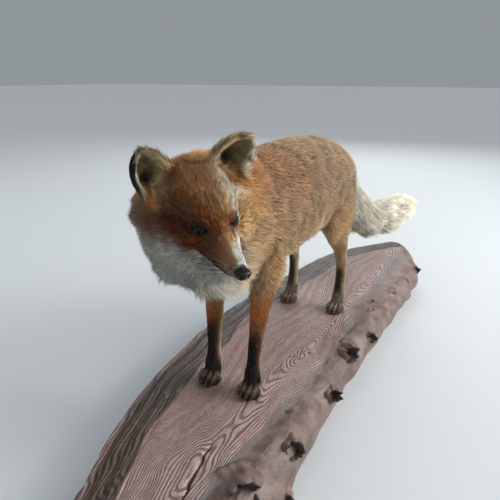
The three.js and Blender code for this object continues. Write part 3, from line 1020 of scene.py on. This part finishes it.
# ---------------------------------------------------------------- coat
ROOT_DEEP = 0.7 * MM  # a tuft starts this far under the skin
TUFTS_IN_LOCK = 9
BENDS = [(0.4, 1.35), (0.6, 0.55)]  # a tuft's two stretches: share of its length, and share of its rise
ROOT_TONE = 0.72  # of a tuft's root, to its middle
PALE_TIPS, DARK_TIPS = 0.30, 0.07  # shares of the tufts, where the coat is fully grizzled
TUFT_FACES = [(2, 1, 0), (3, 2, 0), (1, 3, 0), (1, 2, 4), (2, 3, 4), (3, 1, 4)]
TUFT_MAP = np.array([(0, -0.5), (-0.5, -0.1), (0.5, -0.1), (0, 0), (0, 0.5)]) * 0.003


def tuft_roots(own, count, draw):
    """Spots spread evenly over triangles, and none where they are bare: the triangle and the shares of its
    corners."""
    corners = points[own]
    area = np.linalg.norm(np.cross(corners[:, 1] - corners[:, 0], corners[:, 2] - corners[:, 0]), axis=1)
    reach = np.cumsum(area * (1 - bare[own].max(axis=1)))
    at = np.searchsorted(reach, (np.arange(count) + draw.uniform(size=count)) / count * reach[-1])
    return np.minimum(at, len(own) - 1), draw.dirichlet((1, 1, 1), count)


def locks_of(root, draw):
    """The tufts that lead a lock, and for each tuft which of them is nearest."""
    leads = draw.choice(len(root), max(1, len(root) // TUFTS_IN_LOCK), replace=False)
    tree = KDTree(len(leads))
    for k, lead in enumerate(leads):
        tree.insert(root[lead], k)
    tree.balance()
    return leads, np.array([tree.find(spot)[1] for spot in root])


def coat(name, chosen, count, clump, varied, seed):
    """Closed tufts rooted in the chosen triangles. Each is a thin three-sided blade, bent along the lie of
    the coat, and the tips of a few neighbours draw together into a lock."""
    draw = np.random.default_rng(seed)
    own = faces[chosen]
    at, shares = tuft_roots(own, count, draw)

    def here(values):
        return np.einsum("nk,nk...->n...", shares, values[own[at]])

    root = here(points)
    up = unit(here(normals))
    way = flattened(here(lie), up)
    left = np.cross(up, way)
    length = here(tuft_length) * draw.uniform(0.72, 1.25, count)
    length = length * (1 + 0.12 * ripple(root, 14 * MM, seed + 1))
    width = here(tuft_width) * draw.uniform(0.75, 1.3, count)
    rise = here(tuft_rise) * (1 + 0.2 * draw.normal(size=count)) + 2 * ripple(root, 22 * MM, seed + 2)
    rise = np.radians(np.clip(rise, 3, 75))
    turn = 6 * draw.normal(size=count) + 6 * ripple(root, 15 * MM, seed + 3)
    turn = np.radians(turn + 7 * ripple(root, 50 * MM, seed + 4))
    way = way * np.cos(turn)[:, None] + left * np.sin(turn)[:, None]
    left = np.cross(up, way)

    line = [root - up * ROOT_DEEP]
    for part, share in BENDS:
        angle = rise * share
        heading = way * np.cos(angle)[:, None] + up * np.sin(angle)[:, None]
        line.append(line[-1] + heading * (length * part)[:, None])
    leads, lock = locks_of(root, draw)
    pull = clump * draw.uniform(0.5, 1.2, count)
    for k, part in ((1, BENDS[0][0]), (2, 1)):  # how far out along the tuft each point of the line is
        line[k] = line[k] + (line[k][leads[lock]] - line[k]) * (pull * part**1.6)[:, None]
    across = left * (width / 2)[:, None]
    lift = up * (width * 0.42)[:, None]
    spots = np.stack([line[0], line[1] - across, line[1] + across, line[1] + lift, line[2]], axis=1)
    each = spots.shape[1]
    shape = np.arange(count)[:, None, None] * each + np.array(TUFT_FACES)
    made = mesh_object(name, spots.reshape(-1, 3), shape.reshape(-1, 3))
    middle = np.einsum("nk,nkj->nj", shares, unwrapped(points, own)[at])
    flat = (middle[:, None] + TUFT_MAP).reshape(-1, 2)
    set_map(made, flat[triangles_of(made.data).ravel()])

    # a darker root, and a tip that is pale on some tufts and dark on others
    shift = 1 + 0.12 * draw.normal(size=count) + varied * draw.normal(size=len(leads))[lock]
    hair_tone = here(tone) * np.maximum(shift, 0.3)[:, None]
    speckle = here(grizzled)
    kind = draw.uniform(size=count)
    tip = hair_tone * (1.12 + 0.1 * draw.normal(size=count))[:, None]
    tip = np.where((kind < PALE_TIPS * speckle)[:, None], tip * 0.4 + BUFF * 0.76, tip)
    tip = np.where((kind > 1 - DARK_TIPS * speckle)[:, None], tip * 0.72, tip)
    levels = np.stack([hair_tone * ROOT_TONE] + [hair_tone] * 3 + [tip], axis=1)
    paint(made, "coat_tone", np.clip(levels.reshape(-1, 3), 0.004, 0.95))
    return made


mostly = {part: ON[part][faces].mean(axis=1) > 0.5 for part in ("head", "ear", "neck", "trunk", "tail")}
of_front = mostly["head"] & (hy[faces].mean(axis=1) < 38) & (hz[faces].mean(axis=1) > -52)
of_leg = ~np.any(list(mostly.values()), axis=0)
left_half = points[faces][:, :, 0].mean(axis=1) > 0
ahead_half = points[faces][:, :, 1].mean(axis=1) < 0
COATS = {
    # triangles, number of tufts, how far a lock draws together, and how far the locks' colours vary
    "face_coat": (of_front, 32000, 0.5, 0.3),
    "ruff_coat": (mostly["head"] & ~of_front, 32000, 0.35, 0.13),
    "ear_coat": (mostly["ear"], 13000, 0.2, 0.15),
    "neck_coat": (mostly["neck"], 32000, 0.12, 0.05),
    "flank_coat_left": (mostly["trunk"] & left_half, 32000, 0.12, 0.05),
    "flank_coat_right": (mostly["trunk"] & ~left_half, 32000, 0.12, 0.05),
    "fore_leg_coat": (of_leg & ahead_half, 22000, 0.12, 0.05),
    "hind_leg_coat": (of_leg & ~ahead_half, 22000, 0.12, 0.05),
    "tail_coat": (mostly["tail"], 32000, 0.2, 0.05),
}
FIRST_SEED = 11  # of the coats' random draws
coats = {name: coat(name, *row, seed) for seed, (name, row) in enumerate(COATS.items(), FIRST_SEED)}

# ---------------------------------------------------------------- finishes of the fox
hair = Finish("fox hair", specular_ior_level=0.06, sheen_weight=0.05, sheen_roughness=0.5)
hair_fine = hair.noise(620, detail=2)
hair_share = hair.step(hair.noise(38, detail=4), 0.3, 0.7, 0.86, 1.14)
hair_share = hair_share * hair.step(hair_fine, 0.3, 0.7, 0.88, 1.12)
hair.set(
    base_color=hair.times(hair.written("coat_tone", "Color"), hair_share),
    roughness=hair.step(hair_fine, 0.2, 0.8, 0.62, 0.8),
)
hair.cover(*coats.values())

hide = Finish("fox hide", specular_ior_level=0.2)
hide_hairs = hide.noise(900)
hide_shift = hide.noise(60)
hide_share = hide.step(hide_hairs, 0.3, 0.7, 0.7, 1.1) * hide.step(hide_shift, 0.3, 0.7, 0.88, 1.1)
hide.set(
    base_color=hide.times(hide.written("coat_tone", "Color"), hide_share),
    roughness=hide.step(hide_shift, 0.3, 0.7, 0.65, 0.85),
    normal=hide.relief(hide_hairs, 0.6 * MM, 0.7),
)
hide.cover(skin)

IRIS = [
    # from the pupil's middle outwards
    (0.0, tint(4, 4, 4)),
    (0.38, tint(6, 5, 4)),
    (0.46, tint(34, 22, 10)),
    (0.7, tint(54, 38, 17)),
    (0.84, tint(20, 12, 8)),
    (0.92, tint(8, 6, 5)),
]
glass = Finish("eye glass", specular_ior_level=0.15)
iris_share = glass.written("iris")
glass.set(
    base_color=glass.ramp(iris_share + (glass.noise(700) - 0.5) * 0.12, IRIS),
    roughness=glass.step(iris_share, 0.7, 1.0, 0.04, 0.12),
)

leather = Finish("nose leather", specular_ior_level=0.4)
leather_noise = leather.noise(160)
leather.set(
    base_color=leather.mix(leather.step(leather_noise, 0.35, 0.7), shade(6, 6, 8), shade(14, 14, 18)),
    roughness=leather.step(leather_noise, 0.3, 0.7, 0.2, 0.36),
    normal=leather.relief(leather.cells(900), 0.25 * MM, 0.6),
)

# for the rims of the lids, the lips and the whiskers
rim = Finish("lid rim", specular_ior_level=0.08)
rim_noise = rim.noise(500, detail=2)
rim.set(
    base_color=rim.mix(rim_noise, shade(8, 6, 6), shade(20, 14, 12)),
    roughness=rim.step(rim_noise, 0.3, 0.7, 0.4, 0.6),
)

horn = Finish("claw horn", specular_ior_level=0.45)
horn_streak = horn.noise(30, detail=4, where=horn.stretched((18, 2, 18)))
horn.set(
    base_color=horn.mix(horn.step(horn_streak, 0.35, 0.65), shade(48, 40, 34), shade(112, 98, 84)),
    roughness=horn.step(horn_streak, 0.3, 0.7, 0.3, 0.5),
    normal=horn.relief(horn_streak, 0.2 * MM, 0.5),
)


# ---------------------------------------------------------------- eyes, rims and nose
def globe(name, sign):
    """An eye of glass with a slight bulge over the iris. Its iris value runs from the pupil outwards."""
    made = sphere(name, 64, 40, EYE_RADIUS * MM)
    centre, look, corner, upper = eye_frame(sign)
    x, y, z = (points_of(made.data) / MM).T
    gaze = z / EYE_RADIUS
    iris = np.where(gaze > 0, np.hypot(x * 1.15, y * 0.8) / EYES[sign]["iris"], 2.0)
    x, y, z = np.array([x, y, z]) * (1 + 0.06 * ease(gaze, 0.62, 0.98))
    if np.dot(np.cross(corner, upper), look) < 0:
        made.data.flip_normals()
    set_points(made.data, from_head(centre + np.outer(x, corner) + np.outer(y, upper) + np.outer(z, look)))
    paint(made, "iris", np.clip(iris, 0, 1.2))
    made.data.shade_smooth()
    glass.cover(made)
    return made


def lid_rim(name, sign):
    """The bare dark edge of both lids, thicker at the inner corner."""
    centre, look, corner, upper = eye_frame(sign)
    turns = np.linspace(0, 2 * math.pi, 57)[:-1]
    across = OPENING["half"] * np.cos(turns)
    above = np.where(np.sin(turns) > 0, 1, -1) * lid_height(across, np.sin(turns))
    deep = np.sqrt(np.maximum((EYE_RADIUS + 0.35) ** 2 - across**2 - above**2, 4))
    path = centre + np.outer(across, corner) + np.outer(above, upper) + np.outer(deep, look)
    thick = EYES[sign]["rim"] + 0.35 * bump(across, -OPENING["half"], 2.5)
    rows, sides = len(path), 8
    angles = round_about(sides)
    rings = []
    for k, spot in enumerate(path):
        along = unit(path[(k + 1) % rows] - path[k - 1])
        over = unit(spot - centre)
        over = unit(over - dot(over, along) * along)
        out = np.cross(along, over)
        rings.append(spot + thick[k] * (np.outer(np.cos(angles), out) + np.outer(np.sin(angles), over)))
    i, k = np.meshgrid(np.arange(rows), np.arange(sides), indexing="ij")
    here, ahead = i * sides, (i + 1) % rows * sides
    following = (k + 1) % sides
    shape = np.stack([here + k, here + following, ahead + following, ahead + k], axis=-1).reshape(-1, 4)
    made = mesh_object(name, from_head(np.vstack(rings)), shape)
    edited(made, bpy.ops.mesh.normals_make_consistent, inside=False)
    rim.cover(made)
    return made


NOSE_AT = (0, -74, -26.6)
NOSE_HALF = (10.8, 9.0, 5.7)
NOSTRIL = 4.7  # from the middle of the nose


def nose_pad():
    """The bare nose: a rounded block with a nostril on each side and a groove down its middle."""
    made = sphere("nose_pad", 96, 64, 1)
    local = points_of(made.data)
    x, y, z = (np.sign(local) * np.abs(local) ** 0.74 * NOSE_HALF).T
    x = x * (1 - 0.18 * ease(-z, 0, 7)) * (1 - 0.12 * ease(y, 0, 8))
    z = z + 1.2 * ease(y, -6, 8)
    spot = np.stack([x, y, z], axis=1) + NOSE_AT
    spot[:, 1] += 1.3 * bump(x, 0, 0.9) * ease(-y, 2, 6) * ease(-z, -3, 1)
    for sign in SIDES.values():
        off = x - sign * NOSTRIL
        hole = np.hypot(off / 2.7, (z - 0.4 - 0.25 * sign * off) / 2.1)
        spot[:, 1] += 4.2 * np.exp(-(hole**3)) * ease(-y, 0, 4)
        spot[:, 0] -= sign * 1.8 * bump(z, -1.6, 1.0) * ease(sign * x, 5, 8) * ease(-y, -2, 5)
    set_points(made.data, from_head(spot))
    made.data.shade_smooth()
    leather.cover(made)
    return made


eyes = {side: globe("eye_glass_" + side, sign) for side, sign in SIDES.items()}
rims = {side: lid_rim("lid_rim_" + side, sign) for side, sign in SIDES.items()}
nose = nose_pad()

# ---------------------------------------------------------------- mouth and whiskers
skin_tree = BVHTree.FromPolygons(points.tolist(), faces.tolist())


FAR_OUT = 80 * MM  # outside the head, where the lines are cast back from


def on_skin(start, way, proud=0.0):
    """Where a line in the head's frame leaves the skin, in millimetres in that frame, or None."""
    begin = Vector(from_head(np.array(start, float)))
    course = Vector(np.array(way, float) @ HEAD_MATRIX.T).normalized()
    hit, facing, _, _ = skin_tree.ray_cast(begin + course * FAR_OUT, -course)
    if hit is None:
        return None
    return to_head(np.array(hit + facing * proud * MM)[None])[0]


MOUTH = {-56: -41.8, -30: -43.5, -12: -43, -4: -40.5}  # its height, by the place from front to back


def mouth_line(sign):
    """From below the nose, back along the lip to the corner of the mouth."""
    line = []
    for angle in np.radians(np.linspace(0, 80, 9)):
        line.append(on_skin((0, -56, -41.5), (sign * math.sin(angle), -math.cos(angle), 0), -0.2))
    for y in np.linspace(-54, -4, 22):
        line.append(on_skin((sign * 4, y, read_off(y, MOUTH)), (sign, 0, 0), -0.2))
    return smoothed(np.array([spot for spot in line if spot is not None]), 3)


lips = []
for sign in SIDES.values():
    line = mouth_line(sign)
    size = 0.95 * np.sin(np.linspace(0.35, math.pi - 0.1, len(line))) ** 0.5
    lips.append(rod("lip", from_head(line), size * MM, 8))
lips = joined("lips", lips)

whisker_draw = np.random.default_rng(31)
WHISKER_STEPS = 10
whiskers = []
for sign in SIDES.values():
    sag = np.array([-sign * 0.3, 0.25, -0.32])
    for row, z in enumerate((-27, -31, -35, -38)):
        for y in (-60, -53, -46, -40):
            root = on_skin((0, y + row, z), (sign, 0, 0.05))
            if root is None:
                continue
            length = whisker_draw.uniform(38, 62)
            away = np.array([sign * 0.62, 0.72, -0.12 - 0.07 * row]) + 0.1 * whisker_draw.normal(size=3)
            steps = np.linspace(0, 1, WHISKER_STEPS)[:, None]
            line = root + unit(away) * length * steps + sag * length * 0.45 * steps**2
            whiskers.append(rod("whisker", from_head(line), np.linspace(0.24, 0.05, WHISKER_STEPS) * MM, 5))
whiskers = joined("whiskers", whiskers)
rim.cover(lips, whiskers)

# ---------------------------------------------------------------- claws
CLAW_SHARE = 0.72  # a claw's length in the fur, as a share of the node's
claws = {}
for end in FEET:
    for side in SIDES:
        copies = []
        for number in range(1, 5):
            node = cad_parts[f"{end}_claw_{side}_{number}"]
            horn_points = points_of(node.data)
            hilt = horn_points[np.argmax(horn_points[:, 1] + horn_points[:, 2])]
            shorter = hilt + CLAW_SHARE * (horn_points - hilt)
            made = merged(mesh_object("claw", shorter, triangles_of(node.data)))
            copies.append(applied(made, "SUBSURF", levels=2, render_levels=2))
        made = joined(f"{end}_claws_{side}", copies)
        made.data.shade_smooth()
        claws[end, side] = made
horn.cover(*claws.values())

# ---------------------------------------------------------------- board
# Its left and right are as seen from ahead of the fox, so the right edge is the one at +X.
BOARD = [
    # y, then the left and right edges of the flat top
    (-664, 66, 78),
    (-648, 34, 106),
    (-600, 0, 130),
    (-530, -36, 140),
    (-463, -68, 140),
    (-390, -98, 137),
    (-315, -122, 132),
    (-240, -138, 130),
    (-150, -150, 127),
    (-50, -160, 124),
    (50, -163, 126),
    (140, -154, 130),
    (240, -141, 134),
    (340, -127, 137),
    (440, -112, 141),
    (537, -90, 142),
    (620, -52, 128),
    (690, -2, 104),
    (740, 34, 80),
    (758, 50, 64),
]
# the rounded side from the top's edge down: how far out, as a share of the wane, and how high
SECTION = [(0, 85), (0.28, 82), (0.55, 75), (0.92, 59), (1, 41), (0.9, 28), (0.75, 20), (0.45, 7), (0.2, 0)]
WANE = {"left": 8, "right": 36}  # how far the sides stand out past the flat top
TOP, ROUNDED, UNDERSIDE, STEEP = range(4)  # the zones round the board: its right is rounded, its left steep
RING = 3.5  # between two growth rings, in millimetres
LEDGE = 60  # width of the dark weathered band along the left edge
SMOOTH_FROM = [
    # y and x of the line on the top past which the right edge is worn smooth
    (-664, 96),
    (-400, 96),
    (-297, 104),
    (-138, 126),
    (-20, 123),
    (99, 110),
    (230, 96),
    (400, 92),
    (570, 92),
]
KNOTS = [
    # x, y, radius and depth of the small knots and pits seen from above
    (119, -213, 9, 1.5),
    (121, 268, 6, 3),
    (135, 226, 5, 4),
    (144, 286, 5, 4),
    (151, 359, 7, 6),
    (161, 476, 8, 7),
    (76, -24, 5, 1.5),
    (58, -52, 4, 1.5),
    (110, 60, 5, 2),
    (-88, -282, 4, 3),
]
OVALS = [(-395, 12, 60), (-24, 28, 120), (394, 32, 135)]  # where the rings close: y, rise and reach
SWIRLS = [(-26, -219, 16, 40, 75), (-70, 60, -13, 30, 90)]  # x, y, rise, and reach across and along
STUBS = [
    # x, y, height and radius of the stumps of small branches along the right-hand side
    (140, 23, 76, 24),
    (156, 132, 63, 16),
    (153, -102, 62, 18),
    (148, -268, 70, 23),
    (128, -379, 80, 28),
    (164, -324, 28, 16),
    (156, 592, 60, 17),
]
STUB_WAY = unit(np.array((0.66, -0.6, 0.45)))  # the way that their broken ends look
STUB_ACROSS = unit(np.cross((0, 0, 1), STUB_WAY))
STUB_UP = np.cross(STUB_WAY, STUB_ACROSS)
STUB_PROFILE = [
    # along the stump and out from its axis, in radii, from its foot over the broken rim into the hollow
    (-0.7, 1.3),
    (-0.1, 1.1),
    (0.35, 0.95),
    (0.7, 0.82),
    (0.95, 0.72),
    (0.98, 0.58),
    (0.7, 0.46),
    (0.45, 0.28),
    (0.38, 0),
]
STUB_SIDES = 56
CRACK = {"x": 50, "y": -339, "slant": 0.235, "half": 2.4, "deep": 4.5}


def board_edge(y, column):
    table = np.array(BOARD, float)
    dense = np.linspace(table[0, 0], table[-1, 0], 600)
    return np.interp(y, dense, smoothed(np.interp(dense, table[:, 0], table[:, column]), 60))


def ring_field(x, y):
    """Growth rings as a height map whose contours are the grain: long lines, with ovals where it closes."""
    flat = np.stack([x, y * 0.35, 0 * x], axis=-1).reshape(-1, 3)
    waver = ripple(flat, 42, 71).reshape(x.shape) * 5 + ripple(flat, 13, 72).reshape(x.shape) * 1.4
    middle = 70 + 10 * np.sin(y / 190)
    rise = sum(high * bump(y, at, reach) for at, high, reach in OVALS)
    spots = [(*at, radius) for *at, radius, _ in KNOTS] + [(*at, 0.6 * radius) for *at, _, radius in STUBS]
    swirl = 0
    for at_x, at_y, high, reach_x, reach_y in SWIRLS + [(*at, 1.7 * r, 1.6 * r, 2.6 * r) for *at, r in spots]:
        swirl = swirl + high * np.exp(-(((x - at_x) / reach_x) ** 2 + ((y - at_y) / reach_y) ** 2))
    return (np.sqrt((x - middle) ** 2 + 18**2) - rise + waver + swirl) / RING


def board_grid():
    """Rings of points round the plain board from its near end to its far end, the zone of each, and its place
    in from the left edge."""
    wane = smoothed(between_rows(SECTION, 34, 2)[1], 3)
    steep = wane[::-3]
    top = np.linspace(0, 1, 158)[:-1]
    under = np.linspace(1, 0, 12)[1:-1]
    foot = SECTION[-1][0]
    y_line = np.linspace(BOARD[0][0], BOARD[-1][0], 340)
    grid = []
    for y, left, right in zip(y_line, board_edge(y_line, 1), board_edge(y_line, 2)):
        low_left, low_right = left - WANE["left"] * foot, right + WANE["right"] * foot
        across = np.concatenate(
            [
                left + (right - left) * top,
                right + WANE["right"] * wane[:, 0],
                low_left + (low_right - low_left) * under,
                left - WANE["left"] * steep[:, 0],
            ]
        )
        high = np.concatenate([0 * top + BOARD_TOP, wane[:, 1], 0 * under, steep[:, 1]])
        grid.append(np.stack([across, 0 * across + y, high], axis=1))
    grid = np.array(grid)
    zone = np.repeat([TOP, ROUNDED, UNDERSIDE, STEEP], [len(top), len(wane), len(under), len(steep)])
    return grid, np.broadcast_to(zone, grid.shape[:2]), grid[:, :, 0] - grid[:, :1, 0]


def board_mesh():
    grid, zone, from_left = board_grid()
    rows, around = zone.shape
    x, y, z = np.moveaxis(grid, 2, 0)
    on_top, on_rounded = zone == TOP, zone == ROUNDED
    topside = on_top | on_rounded

    def noise(size, seed, stretch=(1, 1, 1)):
        return ripple(grid.reshape(-1, 3) * stretch, size, seed).reshape(x.shape)

    lumps = noise(38, 73)
    small = noise(9, 74, (1, 0.5, 1))
    sway = noise(60, 75, (0.4, 1, 1))
    high = ease(z, 3, 20)
    smooth_side = ease(x - np.interp(y, *np.array(SMOOTH_FROM, float).T) + 5 * sway, -14, 12)
    ledge = 1 - ease(from_left + 5 * noise(70, 76, (0.3, 1, 1)), LEDGE - 4, LEDGE + 4)
    rings = ring_field(x, y)
    grain = ease(z, 80, 85) * (1 - smooth_side) * (1 - ledge)
    rise = (0.35 * np.cos(2 * math.pi * rings) + 0.7 * np.sin(rings * 0.9)) * grain

    # the ledge: furrows along it, and a groove between it and the top's grain
    furrows = (from_left + 0.9 * np.minimum(z - BOARD_TOP, 0)) / 6.5 + 0.5 * sway
    furrows = furrows + 0.4 * noise(12, 77, (1, 0.06, 1))
    rings = rings + (furrows - rings) * (ledge > 0.5)
    weathered = 0.7 * np.cos(2 * math.pi * furrows) + 1.1 * np.cos(from_left / 3.4 + sway) - 1.0
    rise = rise + weathered * ledge * on_top * ease(from_left, 0, 8)
    rise = rise - 2.4 * bump(from_left, LEDGE, 4) * on_top * (0.6 + 0.4 * lumps)

    # knots with a raised lip, and the crack ahead of the forefeet
    pit = np.zeros_like(x)
    for knot_x, knot_y, radius, deep in KNOTS:
        off = np.hypot(x - knot_x, (y - knot_y) * 0.8) / radius
        rise = rise + deep * 0.7 * bump(off, 1.25, 0.45) * topside * high
        rise = rise - deep * np.exp(-(off**3) * 2.2) * topside * high
        pit = np.maximum(pit, np.exp(-(off**2) * 1.6) * topside)
    crack = (x - CRACK["x"] + (y - CRACK["y"]) * CRACK["slant"] - 1.2 * small) / CRACK["half"]
    crack = np.exp(-(crack**2)) * ease(-y, 318, 350) * ease(y, -520, -440) * on_top
    rise = rise - CRACK["deep"] * crack
    pit = np.maximum(pit, 1.3 * crack)

    outwards = np.zeros_like(grid)
    outwards[:, :, 2] = on_top + ease(z, 40, 85) * on_rounded
    outwards[:, :, 0] = on_rounded * ease(90 - z, 2, 30) - (zone == STEEP)
    bark = (1.6 * lumps + 0.5 * small) * high * (~on_top + on_top * 0.4 * smooth_side)
    for stub_x, stub_y, stub_high, radius in STUBS:
        off = np.hypot(x - stub_x, (y - stub_y - 0.3 * radius) / 1.7)
        off = np.hypot(off, z - stub_high) / (radius * 1.5)
        bark = bark + radius * 0.34 * np.exp(-(off**2)) * topside
    grid = grid + unit(outwards + 1e-9) * ((rise + bark) * (zone != UNDERSIDE))[:, :, None]
    grid[:, :, 2] = np.where(zone == UNDERSIDE, 0, np.maximum(grid[:, :, 2], 0))
    coords = grid.reshape(-1, 3)
    coords = np.vstack([coords, coords[:around].mean(axis=0), coords[-around:].mean(axis=0)])
    made = mesh_object("board", coords * MM, shell_faces(rows, around))
    layers = {
        "rings": rings,
        "smooth_side": np.where(on_top, smooth_side, 1.0),
        "pits": pit,
        # the dark band fades at the very left edge: painted light on the raised rim
        "ledge": np.where(on_top, ledge * (1 - 0.55 * bump(from_left, 0, 5)), zone == STEEP),
    }
    for layer, values in layers.items():
        paint(made, layer, np.concatenate([values.ravel(), [values[0, 0], values[-1, 0]]]))
    return made


def stub_mesh(number, place, radius):
    """A branch stump with a hollow, broken end: a profile turned round its axis, uneven round about."""
    path, profile = between_rows(STUB_PROFILE, 40, 2)
    along, angles = np.meshgrid(profile[:, 0], round_about(STUB_SIDES), indexing="ij")
    out = np.broadcast_to(profile[:, 1:], along.shape)
    flat = np.stack([along, np.cos(angles), np.sin(angles)], axis=-1).reshape(-1, 3)
    uneven = ripple(flat, 0.6, number + 900).reshape(along.shape)
    split = ripple(flat * (0.2, 1, 1), 0.25, number + 930).reshape(along.shape)
    inside = ease(np.broadcast_to(path[:, None], along.shape), 3.6, 4.6)
    out = out * (1 + 0.1 * uneven + 0.05 * split)
    along = along + 0.1 * uneven * (along > 0) + 0.09 * split * ease(along, 0.3, 0.7) * (1 + inside)
    coords = np.array(place) + 0.1 * radius * STUB_WAY + radius * (
        along.reshape(-1, 1) * STUB_WAY * 1.1
        + (out * np.cos(angles)).reshape(-1, 1) * STUB_ACROSS
        + (out * np.sin(angles) * 0.8).reshape(-1, 1) * STUB_UP
    )
    coords = np.vstack([coords, coords[:STUB_SIDES].mean(axis=0)])
    made = mesh_object("stub", coords * MM, shell_faces(len(path), STUB_SIDES, ends=1))
    layers = {
        "rings": path[:, None] * 0.9 + 0.3 * split,
        "smooth_side": 1 - 0.7 * inside,
        "pits": np.clip(0.82 * inside + 0.25 * ease(np.abs(split), 0.8, 1.6), 0, 1),
        "ledge": 0 * inside,
    }
    for layer, values in layers.items():
        paint(made, layer, np.append(values.ravel(), values[0, 0]))
    return made


stubs = [stub_mesh(number, place, radius) for number, (*place, radius) in enumerate(STUBS)]
board = joined("board", [board_mesh(), *stubs])

wood = Finish("brushed wood", specular_ior_level=0.45)
wood_rings = wood.written("rings")
wood_side = wood.written("smooth_side")
wood_pits = wood.written("pits")
wood_ledge = wood.written("ledge")
wood_fibre = wood.noise(9, detail=5, where=wood.stretched((60, 7, 60)), rough=0.6)
wood_cloud = wood.noise(7, detail=4)
wood_mottle = wood.noise(34, detail=4)
wood_speck = wood.noise(420, detail=2)
wood_phase = wood_rings + (wood_fibre - 0.5) * 0.3
wood_wave = wood.node("Math", {"operation": "SINE"}, {0: wood_phase * (2 * math.pi)})
wood_ridge = wood.step(wood_wave, -0.95, 0.15)
wood_pink = wood.mix(wood.step(wood_cloud, 0.35, 0.65), shade(172, 139, 130), shade(190, 161, 153))
wood_top = wood.mix(wood_ridge * wood.step(wood_mottle, 0.2, 0.55, 0.6, 1.0), shade(134, 103, 95), wood_pink)
wood_smooth = wood.mix(wood.step(wood_mottle, 0.35, 0.7), shade(106, 83, 74), shade(142, 119, 109))
# a pale bluish band where the smooth side begins: painted sheen
wood_sheen_band = wood.step(wood_side, 0.0, 0.4) * (1 - wood.step(wood_side, 0.6, 1.0))
wood_bark = wood.mix(wood.step(wood_fibre, 0.35, 0.65), shade(56, 41, 31), shade(88, 67, 51))
wood_bark = wood.mix(wood_ridge, shade(42, 31, 24), wood_bark)
wood_tone = wood.mix(wood_side, wood_top, wood_smooth)
wood_tone = wood.mix(wood_sheen_band * 0.55, wood_tone, shade(134, 130, 134))
wood_tone = wood.mix(wood_ledge, wood_tone, wood_bark)
wood_fleck = wood.step(wood_fibre, 0.3, 0.7, 0.8, 1.12) * wood.step(wood_speck, 0.3, 0.7, 0.86, 1.12)
wood_tone = wood.mix(wood.step(wood_pits, 0.45, 1.0), wood.times(wood_tone, wood_fleck), shade(62, 46, 37))
wood_grain = wood_ridge * (1 - wood_side) * (1 - wood_ledge) * wood.step(wood_mottle, 0.25, 0.6, 0.7, 1.1)
wood_height = wood_grain + wood_fibre * 0.45 + wood_mottle * 0.25 + wood_speck * 0.12
wood.set(
    base_color=wood_tone,
    roughness=wood.step(wood_mottle, 0.3, 0.7, 0.3, 0.46) + wood_pits * 0.3,
    normal=wood.relief(wood_height, 2.6 * MM),
)
wood.cover(board)
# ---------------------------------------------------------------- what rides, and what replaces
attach(skin, "root")
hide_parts(*FLESH)
for made in coats.values():
    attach(made, "root")
for side, made in eyes.items():
    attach(made, "root")
    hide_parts("eye_" + side)
for made in (*rims.values(), lips, whiskers):
    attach(made, "root")
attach(nose, "root")
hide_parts("nose")
for (end, side), made in claws.items():
    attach(made, "root")
    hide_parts(*(f"{end}_claw_{side}_{number}" for number in range(1, 5)))
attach(board, "root")
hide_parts("base_board")


# ---------------------------------------------------------------- floor and lights
bpy.ops.object.select_all(action="DESELECT")
bpy.ops.mesh.primitive_plane_add(size=60, location=(0, 0, -0.0005))
floor = bpy.context.object
floor.name = "floor"
Finish("pale floor", roughness=0.9, base_color=shade(214, 216, 216)).cover(floor)

AIM = Vector((0, 0, 0.3))  # the middle of the fox, which the soft boxes face


def lamp(name, kind, way, colour, **settings):
    """A lamp that looks along a way."""
    data = bpy.data.lights.new(name, kind)
    data.color = colour
    for key, value in settings.items():
        setattr(data, key, value)
    made = bpy.data.objects.new(name, data)
    scene.collection.objects.link(made)
    made.rotation_euler = way.to_track_quat("-Z", "Y").to_euler()
    return made


def softbox(name, place, size, power, colour):
    made = lamp(name, "AREA", AIM - Vector(place), colour, shape="SQUARE", size=size, energy=power)
    made.location = place


softbox("window", (2.1, 1.1, 1.3), 1.3, 52, (0.96, 0.98, 1.0))
softbox("doorway", (-0.7, 3.0, 2.1), 1.8, 40, (0.92, 0.96, 1.0))
softbox("wall", (-2.2, -0.9, 1.7), 2.2, 8, (0.84, 0.93, 1.0))
softbox("room", (0.9, -2.6, 2.0), 2.4, 2.5, (1.0, 0.97, 0.93))
softbox("pane", (0.3, -2.3, 0.3), 0.4, 4.5, (0.92, 0.96, 1.0))
lamp("sky", "SUN", Vector((-0.95, -0.45, -0.95)), (0.97, 0.98, 1.0), energy=1.15, angle=0.7)
world = bpy.data.worlds.new("studio")
world.use_nodes = True
world.node_tree.nodes["Background"].inputs["Color"].default_value = (0.78, 0.86, 0.92, 1)
world.node_tree.nodes["Background"].inputs["Strength"].default_value = 0.36
scene.world = world
scene.view_settings.view_transform = "Standard"

bpy.context.view_layer.update()
